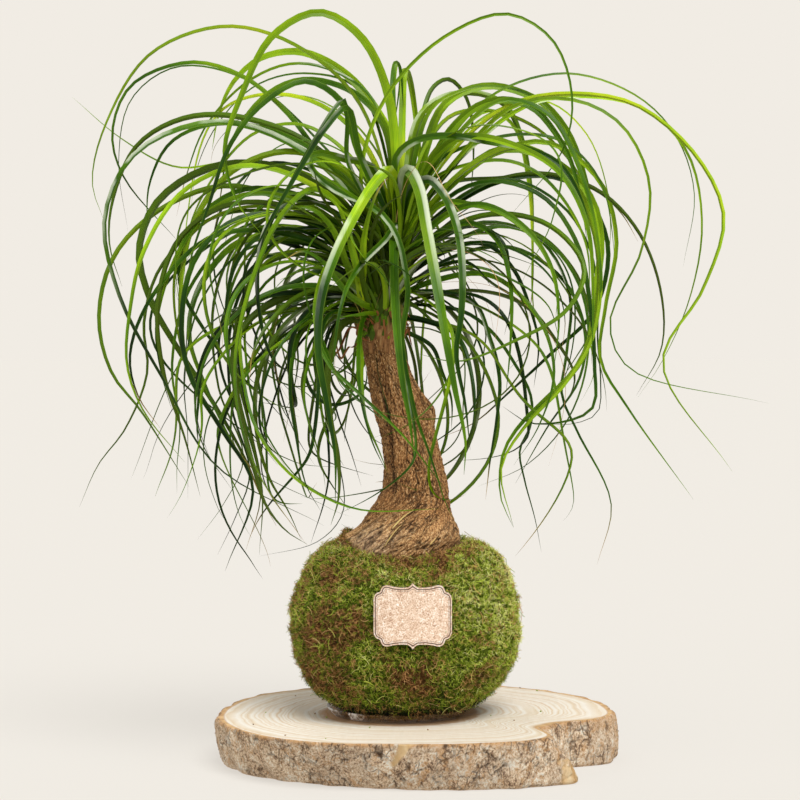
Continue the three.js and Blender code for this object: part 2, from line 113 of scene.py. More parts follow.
def addPiece(name, corners, faces, material=None, layers=None, smoothShade=True):
    # corners in millimetres; layers is {attribute name: one value for each corner}
    mesh = bpy.data.meshes.new(name)
    mesh.from_pydata([tuple(c) for c in np.asarray(corners, float) * mm], [], faces)
    for label, values in (layers or {}).items():
        addLayer(mesh, label, values)
    mesh.polygons.foreach_set("use_smooth", [smoothShade] * len(mesh.polygons))
    mesh.update()
    piece = bpy.data.objects.new(name, mesh)
    scene.collection.objects.link(piece)
    if material:
        mesh.materials.append(material)
    return piece


def gridFaces(rows, columns):
    # quads of a grid whose rows run anticlockwise seen from above and climb
    faces = []
    for r in range(rows - 1):
        for c in range(columns):
            a, b = r * columns + c, r * columns + (c + 1) % columns
            faces.append((a, b, b + columns, a + columns))
    return faces


def closeEnds(faces, rows, columns, low, high):
    # fans from a corner under the first row and one over the last
    top = (rows - 1) * columns
    faces += [((c + 1) % columns, c, low) for c in range(columns)]
    faces += [(top + c, top + (c + 1) % columns, high) for c in range(columns)]


def newTree(name, inputs):
    # a geometry tree with named inputs: {label: (socket kind, value)}
    tree = bpy.data.node_groups.new(name, "GeometryNodeTree")
    tree.interface.new_socket("Geometry", in_out="INPUT", socket_type="NodeSocketGeometry")
    for label, (kind, value) in inputs.items():
        socket = tree.interface.new_socket(label, in_out="INPUT", socket_type="NodeSocket" + kind)
        if value is not None:
            socket.default_value = value
    tree.interface.new_socket("Geometry", in_out="OUTPUT", socket_type="NodeSocketGeometry")
    return tree, tree.nodes.new("NodeGroupInput").outputs, tree.nodes.new("NodeGroupOutput").inputs[0]


def finishTree(tree, geometry, material, out):
    real = made(tree, "GeometryNodeRealizeInstances", {"Geometry": geometry})
    done = made(tree, "GeometryNodeSetMaterial", {"Geometry": real, "Material": material})
    tree.links.new(done, out)


def grow(name, host, tree, values):
    # runs the tree on a host object and returns its result as a plain mesh piece; the host goes
    modifier = host.modifiers.new(name, "NODES")
    modifier.node_group = tree
    for item in tree.interface.items_tree:
        if item.in_out == "INPUT" and item.name in values:
            modifier[item.identifier] = values[item.name]
    depsgraph = bpy.context.evaluated_depsgraph_get()
    mesh = bpy.data.meshes.new_from_object(host.evaluated_get(depsgraph), preserve_all_data_layers=True,
                                           depsgraph=depsgraph)
    mesh.name = name
    host.modifiers.remove(modifier)
    bpy.data.objects.remove(host)
    piece = bpy.data.objects.new(name, mesh)
    scene.collection.objects.link(piece)
    print(name, len(mesh.polygons), "faces")
    return piece


def newMaterial(name, roughness, specular, **sockets):
    material = bpy.data.materials.new(name)
    material.use_nodes = True
    tree = material.node_tree
    shader = tree.nodes["Principled BSDF"]
    shader.inputs["Roughness"].default_value = roughness
    shader.inputs["Specular IOR Level"].default_value = specular
    for key, value in sockets.items():
        shader.inputs[key.replace("_", " ")].default_value = value
    return material, tree, shader


def ramp(tree, factor, stops):
    # stops: [(place, hex colour)]
    node = wire(tree, "ShaderNodeValToRGB", {0: factor})
    band = node.color_ramp
    while len(band.elements) < len(stops):
        band.elements.new(0.5)
    for element, (place, code) in zip(band.elements, stops):
        element.position, element.color = place, paint(code)
    return node.outputs[0]


def rise(tree, factor, dark, light, top="#ffffff"):
    # black at one place and top at the other, whichever of them comes first
    return ramp(tree, factor, sorted([(dark, "#000000"), (light, top)]))


def mix(tree, factor, a, b, mode="MIX"):
    node = wire(tree, "ShaderNodeMix", {0: factor}, data_type="RGBA", blend_type=mode)
    for index, value in ((6, a), (7, b)):
        if isinstance(value, bpy.types.NodeSocket):
            tree.links.new(value, node.inputs[index])
        else:
            node.inputs[index].default_value = paint(value)
    return node.outputs[2]


def placeTexture(tree, scale, detail=3.0, stretch=(1, 1, 1), shift=(0, 0, 0), roughness=0.55, distortion=0.0):
    # noise on the object's own coordinates; scale is in lumps per metre
    place = ownPlace(tree)
    mapped = made(tree, "ShaderNodeMapping", {"Vector": place, "Scale": stretch, "Location": shift})
    return made(tree, "ShaderNodeTexNoise", {"Vector": mapped, "Scale": scale, "Detail": detail,
                                             "Roughness": roughness, "Distortion": distortion})


def splitLines(tree, place, scale, width, wander=0.02):
    # 1 on the lines between irregular cells, 0 away from them
    loose = wire(tree, "ShaderNodeTexNoise", {"Vector": place, "Scale": scale * 0.8}).outputs[1]
    cells = wire(tree, "ShaderNodeTexVoronoi", {"Vector": mix(tree, wander, place, loose), "Scale": scale},
                 feature="DISTANCE_TO_EDGE").outputs["Distance"]
    return ramp(tree, cells, [(width * 0.2, "#ffffff"), (width, "#000000")])


def layer(tree, name):
    return wire(tree, "ShaderNodeAttribute", attribute_name=name).outputs["Fac"]


def bump(tree, shader, height, strength, distance):
    # distance is in millimetres
    feed(tree, shader, made(tree, "ShaderNodeBump", {"Height": height, "Strength": strength,
                                                     "Distance": distance * mm}), "Normal")


sizes = {  # in millimetres, as in the solids
    "sliceThick": 30.0,
    "saucerX": -11.5, "ballX": -8.0, "ballRadius": 73.5,
    "trunkTop": 270.0, "stemFootX": -24.0, "stemTop": 362.0, "stemTopX": -10.0, "soilLine": 140.4,
}

ballRows = np.array([
    (31.6, 35), (35.8, 41), (39, 48), (45, 57.5), (52, 63), (58, 66.5), (65, 70), (73, 72.5), (83, 73.5),
    (94, 73.5), (104, 72.2), (112, 69.5), (122, 66), (129, 62), (136, 55), (139, 49), (142, 40),
], float)

trunkRows = np.array([
    (112, -16, 0, 16), (116, -15, 0, 26), (124, -13, 0, 34), (136, -11, 0, 37.5), (143, -10.5, 0, 37),
    (152, -9, 0, 32.8), (159, -6.3, 0, 28), (166, -3.4, 0, 24), (174, -1.4, 1, 21), (190, -2.2, 1, 18.4),
    (208, -5.2, 1, 17.4), (222, -9.5, 1, 17.6), (238, -14.5, 0, 15.6), (252, -19, 0, 13.6),
    (264, -22.5, 0, 12.2), (270, -24, 0, 12),
], float)

trunkKnots = [(0, 227, 4.8, 0.5, 9), (200, 145.5, 2.6, 0.4, 6), (325, 149, 4, 0.55, 9), (80, 205, 3, 0.5, 10)]


view = {"far": 1450.0, "height": 265.0, "acrossAt": -11.2, "lens": 101.32, "tiltDown": 1.298}

camera = bpy.data.objects.new("camera", bpy.data.cameras.new("camera"))
camera.location = (view["acrossAt"] * mm, -view["far"] * mm, view["height"] * mm)
camera.rotation_euler = (math.radians(90 - view["tiltDown"]), 0, 0)
camera.data.lens = view["lens"]
camera.data.sensor_width = 36
camera.data.clip_start, camera.data.clip_end = 0.05, 60
scene.collection.objects.link(camera)
scene.camera = camera

room = {
    "backdrop": "#f1ece4",
    "skyLight": 0.36,       # how much of the backdrop's brightness lights the object
    "sunPower": 2.85, "sunSoftness": 34, "sunFrom": (0.42, -0.85, 1.35),
    "fillPower": 0.8, "fillSoftness": 70, "fillFrom": (-1.1, -0.8, 0.5),
    "rimPower": 0.5, "rimSoftness": 40, "rimFrom": (-0.5, 1.0, 1.3),
    "lowPower": 0.5, "lowSoftness": 60, "lowFrom": (0.8, -0.8, 0.33),
    "floor": "#7d7b77", "floorGlow": 0.694,
}


def addSun(name, power, softness, place):
    lamp = bpy.data.lights.new(name, "SUN")
    lamp.energy, lamp.angle = power, math.radians(softness)
    holder = bpy.data.objects.new(name, lamp)
    holder.rotation_euler = (-Vector(place)).to_track_quat("-Z", "Y").to_euler()
    scene.collection.objects.link(holder)


for lampName in ("sun", "fill", "rim", "low"):
    addSun(lampName + "Light", room[lampName + "Power"], room[lampName + "Softness"], room[lampName + "From"])

world = bpy.data.worlds.new("studio")
world.use_nodes = True
worldTree = world.node_tree
seen = wire(worldTree, "ShaderNodeLightPath").outputs["Is Camera Ray"]
strength = made(worldTree, "ShaderNodeMapRange", {"Value": seen, "To Min": room["skyLight"], "To Max": 1.0})
backdrop = worldTree.nodes["Background"]
backdrop.inputs["Color"].default_value = paint(room["backdrop"])
worldTree.links.new(strength, backdrop.inputs["Strength"])
scene.world = world
scene.view_settings.view_transform = "Standard"

floorPaint, floorTree, floorShader = newMaterial("paleFloor", 1.0, 0.0, Emission_Strength=room["floorGlow"])
floorTree.links.new(ramp(floorTree, placeTexture(floorTree, 3, 2), [(0.3, room["floor"]), (0.7, room["floor"])]),
                    floorShader.inputs["Base Color"])
floorShader.inputs["Emission Color"].default_value = paint(room["backdrop"])
floor = addPiece("floor", [(-30000, -3000, -0.2), (30000, -3000, -0.2), (30000, 60000, -0.2), (-30000, 60000, -0.2)],
                 [(0, 1, 2, 3)], floorPaint)
print("stage set")


leafStyle = {
    "steps": 44,
    "channel": 0.42,      # how deep a blade is folded along its middle, as a share of half its width
    "thickness": 0.12,    # half thickness as a share of half its width
    "openRoll": 0.85,     # how far the blades that go sideways turn their faces to the front
    "sheen": 0.12,        # share of the leaves with one pale, shining half
    "placedWidth": 0.57,  # the leaves below are given as wide as the solids, which are stouter than life
    "skirt": 28,          # long leaves in a spiral up the stem, low ones hanging and high ones arched
    "hanging": 28,
    "leftFan": 12, "rightFan": 12,
    "bases": 34,          # short young ones round the front of the growing points
    "fillers": 38,        # thin leaves between the broad ones
    "curls": 20, "straws": 6,  # dried bases, dead leaves
    "reach": 1.7,         # placed leaves come forward or go back by so many times the depth given for them
    "halfDepth": 136,     # no free leaf goes further from the middle than this
    "seed": 2024,
}

placedLeaves = [
    # [width, depth of the tip, height on the stem, then x,z places seen from the front];
    # the ones that stand out start with their own (brightness, painted sheen on one half, brightness of the lower part)
    # left, tall arches
    [(0.7, 0), 9, -18, 352, -18,425, -36,465, -63,481, -93,466, -113,428, -124,392, -116,360, -98,336],
    [5, 12, 350, -38,424, -80,461, -125,472, -172,454, -200,410, -209,372, -201,346],
    [6, 30, 335, -52,374, -84,417, -114,441, -147,449, -184,434, -196,404, -189,376, -152,332],
    [3, 42, 340, -60,395, -110,438, -155,446, -184,425, -192,385, -186,340],
    [8, -22, 345, -38,392, -49,424, -72,437, -100,422, -121,395, -134,358, -146,322, -150,290],
    [4, 30, 352, -28,424, -55,444, -82,448, -110,436, -136,408, -148,378, -155,350],
    [4, 48, 350, -36,430, -72,442, -104,434, -128,410, -142,380, -146,350],
    [(0.25, 0.4), 7, -42, 340, -37,390, -45,420, -59,407, -76,380, -96,345, -112,312],
    [(0.3, 0.6), 5, -28, 330, -33,361, -45,387, -45,411, -47,425, -53,420, -64,403, -76,382, -88,359, -99,332,
     -105,308],
    [8, 14, 346, -20,406, -37,427, -56,436, -74,438, -90,433, -105,421, -117,403, -123,387, -126,367, -130,342],
    [(0.4, 0.6), 7, -44, 332, -29,382, -47,387, -61,391, -69,389, -69,382, -61,373, -49,365, -34,359, -21,350,
     -12,335, -8,317, -6,300, -10,274, -9,261, -5,240, 0,219, 7,200, 13,182, 18,166, 25,152],
    [(0.85, 0), 10, 28, 350, -18,401, -27,419, -42,438, -61,451, -78,456, -100,452, -117,438, -127,418, -132,393],
    [(0.5, 0), 8, 34, 350, -16,432, -14,449, -11,445, -9,419],
    # left, wide arches
    [8, -25, 322, -62,384, -125,411, -180,392, -201,350, -192,300, -164,246, -130,190, -60,151],
    [7, 20, 330, -60,390, -105,412, -147,414, -180,396, -196,360, -198,332, -190,305],
    [6, -10, 326, -66,392, -122,410, -157,399, -172,372, -174,338],
    [6, -32, 312, -55,362, -108,383, -150,367, -176,328, -185,290, -187,255, -177,226, -150,192],
    [6, 25, 302, -68,350, -120,370, -165,355, -195,325, -205,285, -197,250, -178,225, -147,176],
    [4, 15, 306, -80,350, -130,350, -165,318, -176,282, -174,250, -188,214, -206,190, -218,163],
    [3, 35, 318, -60,372, -110,386, -155,382, -190,400, -222,427],
    [7, 15, 330, -40,385, -74,409, -104,404, -128,380, -147,342, -150,308],
    [7, -12, 318, -42,376, -82,392, -118,380, -142,350, -152,308, -150,262, -134,226],
    # left, lower arches
    [8, -36, 304, -64,345, -112,350, -142,325, -152,280, -146,247, -126,213, -106,176, -124,122],
    [7, -18, 308, -70,352, -120,358, -153,336, -167,295, -163,248, -150,208, -140,170],
    [6, -42, 292, -68,306, -104,297, -132,268, -143,232, -139,205, -118,172],
    [7, -46, 296, -64,303, -92,286, -106,262, -108,246],
    [5, 40, 320, -55,372, -98,384, -126,355, -131,318, -122,285, -105,262],
    [6, -15, 306, -60,352, -105,365, -138,350, -158,318, -168,280, -165,250, -158,225],
    [5, 45, 310, -60,350, -105,345, -130,300, -128,240, -112,195, -125,165, -142,142],
    [5, 52, 306, -50,340, -90,335, -118,290, -120,230, -108,185, -118,155, -129,132],
    [6, -52, 290, -57,298, -76,275, -82,240, -78,208, -72,178, -62,160],
    [6, -56, 286, -52,289, -68,262, -73,235, -67,205, -60,185],
    [7, -20, 300, -70,335, -130,338, -170,300, -185,262, -180,235, -165,213],
    [7, -30, 290, -60,300, -100,298, -132,272, -143,240, -141,215, -134,196],
    [8, 12, 296, -60,330, -112,335, -140,305, -147,275, -136,240, -118,203, -100,180],
    [6, 38, 292, -55,320, -95,325, -120,298, -128,262, -116,225, -90,190],
    # left, low leaves that hang and curl in under the head
    [8, -26, 292, -56,316, -82,306, -108,293, -130,274, -138,258, -141,232, -142,213, -140,197],
    [8, -36, 288, -63,303, -88,297, -108,284, -118,264, -117,239, -112,213, -105,187, -98,165, -85,148, -71,139],
    [7, -10, 284, -56,289, -74,277, -81,258, -81,232, -77,206, -76,187],
    [7, -44, 280, -53,285, -65,268, -74,245, -72,226, -66,206, -61,187, -59,173],
    [8, -40, 282, -47,282, -55,264, -58,245, -56,219, -51,194, -51,168, -56,151],
    [10, 18, 326, -76,377, -127,383, -166,361, -179,329, -172,297, -156,268, -137,239, -121,213, -110,192, -100,168,
     -91,151],
    [6, 8, 322, -69,361, -114,367, -146,342, -153,309, -137,277, -114,248, -98,233, -82,215],
    [4, -30, 298, -69,321, -96,309, -110,284, -110,255, -106,232, -95,206, -76,181, -50,166, -16,156],
    [5, -46, 290, -53,297, -64,284, -59,264, -50,245, -34,229, -16,215],
    [6, -48, 278, -36,274, -36,258, -36,242, -33,219, -25,200, -19,185],
    [5, 30, 284, -63,284, -85,277, -93,261, -91,239, -85,223, -79,215],
    [6, -28, 286, -58,298, -84,282, -102,250, -104,215, -96,183, -83,160, -75,142],
    [4, 20, 282, -50,280, -60,250, -58,215, -57,185, -60,167, -69,139],
    [3, 30, 284, -50,290, -62,250, -52,200, -48,160, -64,141, -103,131],
    [5, 8, 288, -56,292, -66,270, -63,235, -58,208, -47,189],
    [4, -20, 286, -50,284, -60,262, -52,225, -42,196, -36,176],
    [5, 26, 290, -60,300, -84,290, -92,262, -86,230, -76,205, -66,190],
    [5, 14, 300, -66,340, -112,340, -146,305, -158,255, -153,215, -155,189, -155,172],
    [4, -8, 298, -64,330, -108,330, -138,298, -150,250, -148,210, -148,168],
    [5, 20, 300, -62,335, -104,330, -124,285, -114,230, -101,172, -111,134],
    [5, -14, 296, -60,325, -100,318, -118,270, -108,215, -100,172, -102,132],
    # in front of the stem
    [(0.82, 0.9, 0.28), 11, -76, 338, -15,370, -18,380, -28,371, -42,348, -54,323, -62,297, -64,265, -58,228,
     -53,196, -53,165],
    [9, -62, 306, -44,350, -66,368, -88,350, -106,310, -117,262, -115,222, -101,182, -74,142],
    [(0.62, -2), 12, -72, 340, -10,371, -6,380, 1,368, 6,342, 12,309, 18,274, 24,240, 31,205, 30,184],
    [(0.3, -1.1), 9, -60, 336, -6,366, 6,374, 15,367, 22,354, 27,336, 29,310, 28,285, 25,262, 31,228, 34,200],
    [(0.45, 0), 10, -50, 312, -15,332, -15,335, -15,317, -14,290, -12,264, -9,240, -5,219, -2,194],
    [(0.35, 0.8), 4, -54, 306, -16,321, -13,297, -9,264, -5,232, -1,206, -3,192, -12,182, -29,170, -50,159],
    [3, -48, 300, 15,277, 22,255, 15,237, 3,223, -10,214, -24,208],
    [(0.6, 0, 0.5), 5, -56, 300, -38,330, -56,322, -66,290, -58,257, -36,235, -9,209, 20,172],
    [6, -48, 322, -20,345, -48,368, -66,381, -68,391],
    [5, -50, 284, -33,287, -38,262, -36,232, -29,205, -20,186],
    [5, -52, 302, -62,328, -96,322, -113,285, -112,245, -102,210, -78,181, -40,162, 16,162],
    [(0.85, 0), 8, -58, 287, -34,300, -35,318, -34,338, -29,358, -24,369, -19,375],
    [(0.9, 0), 8, -3, 300, -8,321, -6,335, -3,347, 0,357, 3,367, 8,379, 18,393, 27,406],
    [(0.6, 0), 5, -50, 286, -30,288, -38,287, -46,286, -54,284],
    [(0.42, -1.0), 7, -62, 300, -12,345, -21,335, -34,322, -42,311, -47,300, -51,284, -53,268, -55,245],
    [(0.72, 0), 8, -22, 289, -35,295, -40,306, -46,321, -51,335, -58,347, -68,355, -81,356, -92,351],
    [(0.85, 0), 9, -28, 289, -34,293, -38,313, -42,329, -46,345, -52,358, -62,366],
    [(0.55, 0), 7, -40, 289, -33,293, -44,300, -54,312, -62,322, -74,328, -86,322],
    # top, bending back
    [(0.85, 0), 8, 82, 352, -10,405, -8,444, -4,434, 2,384, 6,320],
    [5, 62, 350, -16,420, -13,449, -11,440, -16,400],
    [6, 32, 350, 2,410, 10,433, 21,438, 32,425, 36,395, 34,360],
    # right, tall arches
    [(0.68, 0), 4, -20, 318, -36,366, -32,400, -14,436, 20,467, 57,480, 86,464, 99,430, 94,394, 60,351],
    [4, 18, 345, 15,392, 48,428, 95,442, 140,428, 166,402, 178,365, 171,318],
    [5, -12, 342, 30,400, 65,424, 105,429, 142,421, 180,388, 197,350, 184,304, 158,256, 203,186],
    [5, 10, 340, 36,396, 72,422, 112,427, 148,418, 174,390, 183,345, 175,297, 157,256, 142,234],
    [6, -28, 338, 28,390, 62,421, 100,425, 131,409, 149,372, 144,328, 124,282, 136,253, 226,230],
    [7, 15, 348, 8,418, 28,431, 50,434, 78,425, 100,395, 112,352],
    [8, -30, 344, 22,398, 54,425, 84,416, 103,384, 114,345, 118,300, 110,262],
    [4, 42, 346, 40,412, 82,424, 108,404, 121,372, 124,335, 118,300],
    [6, 40, 344, 20,395, 45,418, 62,408, 71,375, 74,335, 74,300, 78,265],
    [(0.62, 0), 9, 24, 342, -3,361, 5,393, 15,419, 29,430, 47,434, 66,430, 83,421, 98,402, 108,374, 116,335, 117,297],
    [(0.55, 0), 9, -8, 334, -3,353, 7,379, 21,405, 39,421, 56,425, 74,420, 87,406, 98,387, 105,361, 109,335],
    [(0.38, 0.5), 8, -30, 346, -14,387, -1,399, 21,402, 47,398, 73,393, 92,383, 105,361, 112,329, 112,297],
    [6, -12, 330, 9,373, 34,384, 58,386, 79,377, 98,355, 109,330, 111,297],
    [5, 34, 330, 15,369, 53,375, 79,376, 100,373, 119,364, 132,351, 142,334],
    [6, -4, 340, 13,385, 34,396, 66,403, 92,399, 111,383, 121,364, 125,342, 127,321],
    [6, 30, 338, 4,392, 22,415, 47,418, 73,409, 92,393, 106,373, 119,334],
    [7, 44, 346, 0,412, 17,427, 40,429, 57,421, 67,400, 73,367, 74,335, 74,303, 71,282],
    # right, wide and lower arches
    [5, 22, 318, 30,364, 76,378, 116,367, 143,339, 157,300, 157,265, 141,235],
    [8, -46, 338, 6,382, 28,401, 62,396, 92,378, 109,345, 113,300, 112,255],
    [8, -25, 322, 22,364, 50,373, 82,362, 103,332, 111,295, 114,255, 112,226, 74,217, 55,228],
    [7, -40, 312, 14,348, 40,358, 68,344, 86,318, 91,285, 88,252],
    [6, 15, 304, 24,334, 56,344, 88,330, 107,298, 109,255, 96,218, 70,190, 38,176],
    [8, -38, 330, 30,380, 68,395, 100,372, 116,330, 113,275, 95,243, 70,216, 54,188, 62,150],
    [6, 28, 334, 38,384, 82,398, 117,373, 128,335, 121,292, 118,258, 135,228, 178,168],
    [5, 30, 308, 38,346, 78,336, 98,300, 96,262, 93,236, 103,212, 125,165, 116,126],
    [6, -46, 316, 38,350, 82,346, 107,318, 96,290, 62,270, 26,257, 0,262],
    [6, 32, 326, 50,372, 98,372, 122,335, 114,290, 86,262, 60,238, 36,217, 15,208],
    [7, -30, 310, 14,340, 35,346, 52,334, 60,305, 60,270, 57,235],
    [6, 12, 302, 22,330, 45,332, 62,316, 73,290, 78,268, 75,240],
    [5, 2, 296, 10,314, 36,318, 62,309, 84,293, 92,268],
    [7, 25, 296, 25,325, 62,330, 95,308, 108,275, 104,245, 84,215, 63,178],
    [6, -38, 294, 15,310, 48,312, 78,285, 88,250, 78,215, 62,190],
    # right, dark leaves that leave the stem nearly level
    [7, -34, 322, 15,358, 34,358, 53,353, 73,338, 85,321, 90,303, 89,284],
    [6, -20, 312, 21,345, 40,345, 56,332, 59,313, 60,293, 56,274],
    [5, 20, 318, 27,343, 56,345, 79,338, 97,321, 107,303, 111,277, 101,258, 89,240],
    [6, -30, 306, 34,333, 56,331, 76,321, 89,306, 95,284, 93,264],
    [4, 30, 302, 31,317, 50,306, 63,297, 73,277, 69,263, 58,251],
    [5, -14, 298, 34,297, 47,271, 53,245, 51,219, 47,194, 44,168],
    [5, 10, 290, 27,290, 47,277, 63,255, 73,235, 73,216, 66,200, 69,181, 76,155, 80,134],
    [9, -16, 330, 53,393, 92,383, 112,361, 118,335, 115,303, 111,271, 101,251, 82,232, 66,216, 56,200, 53,184,
     54,168, 62,150],
    [5, 34, 326, 53,374, 92,358, 111,329, 116,297, 116,271, 118,245, 116,224, 101,217, 76,217],
    [7, -30, 284, 18,279, 29,268, 35,248, 37,229, 34,206],
    [5, 26, 276, 8,268, 16,250, 22,232, 22,213],
]


chance = random.Random(leafStyle["seed"])  # every free leaf draws from this, so the order of the lines below matters
pick = chance.uniform
goldenTurn = 2.39996  # radians from one leaf to the next round the stem


def stemX(z):
    t = (z - sizes["trunkTop"]) / (sizes["stemTop"] - sizes["trunkTop"])
    return sizes["stemFootX"] + (sizes["stemTopX"] - sizes["stemFootX"]) * t


def stemFoot(heading, z, out=6):
    return (stemX(z) + out * math.cos(heading), out * math.sin(heading), z)


def placedMidrib(depth, height, places):
    points = [(stemX(height), 0, height)]
    for i, (x, z) in enumerate(places):
        t = (i + 1) / len(places)
        out = 1 - (1 - t) ** 2
        if depth < -44:  # a leaf that hangs in front of the stem rises first, then comes forward
            out = 0.85 * ease(t / 0.72) + 0.15 * t
        y = depth * leafStyle["reach"] * out
        spread = 1 + y / view["far"]
        points.append((-11 + (x + 11) * spread, y, 265 + (z - 265) * spread))
    return np.array(points, float)


def archedMidrib(foot, heading, lift, fall, length, bend):
    # walks out from the foot: the leaf starts lift degrees up and turns over by fall in all, so its tip curls in
    place, steps = np.array(foot, float), 18
    points = [tuple(place)]
    for s in range(steps):
        t = (s + 0.5) / steps
        up = math.radians(lift - fall * (0.55 * t + 0.45 * ease(t * 1.1)))
        way = heading + bend * t
        ahead = np.array([math.cos(up) * math.cos(way), math.cos(up) * math.sin(way), math.sin(up)])
        place = place + length / steps * ahead
        points.append(tuple(place))
    return points


def smoothLine(points, steps):
    # a smooth line through the points (centripetal, so it never loops), in even steps along its length
    points = np.asarray(points, float)
    padded = np.vstack([2 * points[0] - points[1], points, 2 * points[-1] - points[-2]])
    dense = []
    for p0, p1, p2, p3 in zip(padded, padded[1:], padded[2:], padded[3:]):
        d0, d1, d2 = (max(np.linalg.norm(b - a), 1e-4) ** 0.5 for a, b in ((p0, p1), (p1, p2), (p2, p3)))
        m1 = ((p1 - p0) / d0 - (p2 - p0) / (d0 + d1) + (p2 - p1) / d1) * d1
        m2 = ((p2 - p1) / d1 - (p3 - p1) / (d1 + d2) + (p3 - p2) / d2) * d1
        for t in np.linspace(0, 1, 24, endpoint=False):
            dense.append((2 * t ** 3 - 3 * t ** 2 + 1) * p1 + (t ** 3 - 2 * t ** 2 + t) * m1
                         + (3 * t ** 2 - 2 * t ** 3) * p2 + (t ** 3 - t ** 2) * m2)
    dense = np.array(dense + [points[-1]])
    length = np.concatenate([[0], np.cumsum(np.linalg.norm(np.diff(dense, axis=0), axis=1))])
    at = np.linspace(0, length[-1], steps + 1)
    return np.stack([np.interp(at, length, dense[:, k]) for k in range(3)], axis=1)


bladeShare = ([0, 0.05, 0.14, 0.3, 0.6, 0.78, 0.9, 1], [1.3, 1.6, 1.35, 1.08, 0.9, 0.62, 0.32, 0.02])


def bladeFrames(line, roll, open=0.0):
    # the direction across the blade at each place: turned by open soon after the root, and by roll towards the tip
    first = line[2] - line[0]
    side = np.array([-first[1], first[0], 0.0])
    if np.dot(side, side) < 1e-3:
        side = np.array([1.0, 0, 0])
    side /= np.linalg.norm(side)
    sides = []
    last = len(line) - 1
    for s in range(len(line)):
        along = line[min(s + 1, last)] - line[max(0, s - 1)]
        along /= np.linalg.norm(along)
        side = side - np.dot(side, along) * along
        side /= np.linalg.norm(side)
        turn = roll * ease(s / last) + open * ease(s / last / 0.3)
        sides.append(side * math.cos(turn) + np.cross(along, side) * math.sin(turn))
    return np.array(sides)


def facingFrames(line, tilt, twist, under):
    # the blade is level at its foot and soon turns one face towards the front, tilted by so many radians
    hand = 1 if line[-1][0] > line[0][0] else -1
    back = np.array([0, 1.0, 0])
    sides = []
    last = len(line) - 1
    for s in range(len(line)):
        along = line[min(s + 1, last)] - line[max(0, s - 1)]
        along /= np.linalg.norm(along)
        face = np.cross(along, back)
        face /= max(1e-6, np.linalg.norm(face))
        opened = ease(s / last / 0.28)
        lean = tilt + twist * (s / last - 0.4)
        turn = hand * (math.pi / 2 * (1 - opened) + (math.pi - lean if under else lean) * opened)
        sides.append(face * math.cos(turn) + np.cross(face, along) * math.sin(turn))
    return np.array(sides)


def leafTree():
    tree, given, out = newTree("sweepBlades", {
        "Channel depth": ("Float", 0.3), "Blade thickness": ("Float", 0.08), "Leaf material": ("Material", None)})
    named = lambda name, kind="FLOAT": made(tree, "GeometryNodeInputNamedAttribute", {"Name": name}, data_type=kind)
    points = made(tree, "GeometryNodeMeshToPoints", {"Mesh": given[0]})
    lines = made(tree, "GeometryNodePointsToCurves", {"Points": points, "Curve Group ID": named("leafNumber", "INT"),
                                                      "Weight": named("along")})
    lines = made(tree, "GeometryNodeSetCurveNormal", {"Curve": lines, "Normal": named("bladeSide", "FLOAT_VECTOR")},
                 mode="FREE")
    # the blade's section: a thin lens folded along its middle
    ring = made(tree, "GeometryNodeCurvePrimitiveCircle", {"Resolution": 8, "Radius": 1.0})
    x, y, _ = wire(tree, "ShaderNodeSeparateXYZ", {0: made(tree, "GeometryNodeInputPosition")}).outputs
    fold = times(tree, sums(tree, "SUBTRACT", sums(tree, "ABSOLUTE", x), 1.0), given["Channel depth"])
    height = timesPlus(tree, y, given["Blade thickness"], fold)
    ring = keepOn(tree, ring, "across", x)
    ring = keepOn(tree, ring, "upperFace", y)
    place = made(tree, "ShaderNodeCombineXYZ", {0: x, 1: height})
    ring = made(tree, "GeometryNodeSetPosition", {"Geometry": ring, "Position": place})
    blades = made(tree, "GeometryNodeCurveToMesh", {"Curve": lines, "Profile Curve": ring,
                                                    "Scale": named("halfWidth"), "Fill Caps": True})
    blades = made(tree, "GeometryNodeSetShadeSmooth", {"Geometry": blades, "Shade Smooth": True})
    side = sums(tree, "ABSOLUTE", named("across"))
    crisp = sums(tree, "ADD", sums(tree, "LESS_THAN", side, 0.01), sums(tree, "GREATER_THAN", side, 0.99))
    blades = made(tree, "GeometryNodeStoreNamedAttribute",
                  {"Geometry": blades, "Name": "sharp_edge", "Value": crisp}, data_type="BOOLEAN", domain="EDGE")
    finishTree(tree, blades, given["Leaf material"], out)
    return tree


def leafHost(name, leaves):
    # leaves: [(line, sides, full width, tint, dry tip, painted sheen on one half)]; the tree reads the values kept on
    # each point
    points, numbers, along, sides, widths, tints, dry, inner, sheen = ([] for _ in range(9))
    for n, (line, across, width, tint, dryTip, pale) in enumerate(leaves):
        share = np.linspace(0, 1, len(line))
        points.append(line * mm)
        sides.append(across)
        along.append(share)
        numbers.append(np.full(len(line), n))
        widths.append(np.interp(share, *bladeShare) * width / 2 * mm)
        tints.append(np.full(len(line), tint))
        dry.append(np.full(len(line), dryTip))
        # leaves are in each other's shade low in the middle of the head
        inner.append(np.exp(-((line[:, 0] + 20) ** 2 + 1.5 * (line[:, 1] - 8) ** 2
                              + (line[:, 2] - 300) ** 2) / (2 * 42 ** 2)))
        sheen.append(np.full(len(line), pale))
    mesh = bpy.data.meshes.new(name)
    mesh.from_pydata([tuple(p) for p in np.vstack(points)], [], [])
    for label, values in (("along", along), ("halfWidth", widths), ("leafTint", tints), ("dryTip", dry),
                          ("inner", inner), ("sheen", sheen)):
        addLayer(mesh, label, np.concatenate(values))
    addLayer(mesh, "leafNumber", np.concatenate(numbers), "INT")
    addLayer(mesh, "bladeSide", np.vstack(sides), "FLOAT_VECTOR")
    host = bpy.data.objects.new(name + "Host", mesh)
    scene.collection.objects.link(host)
    return host


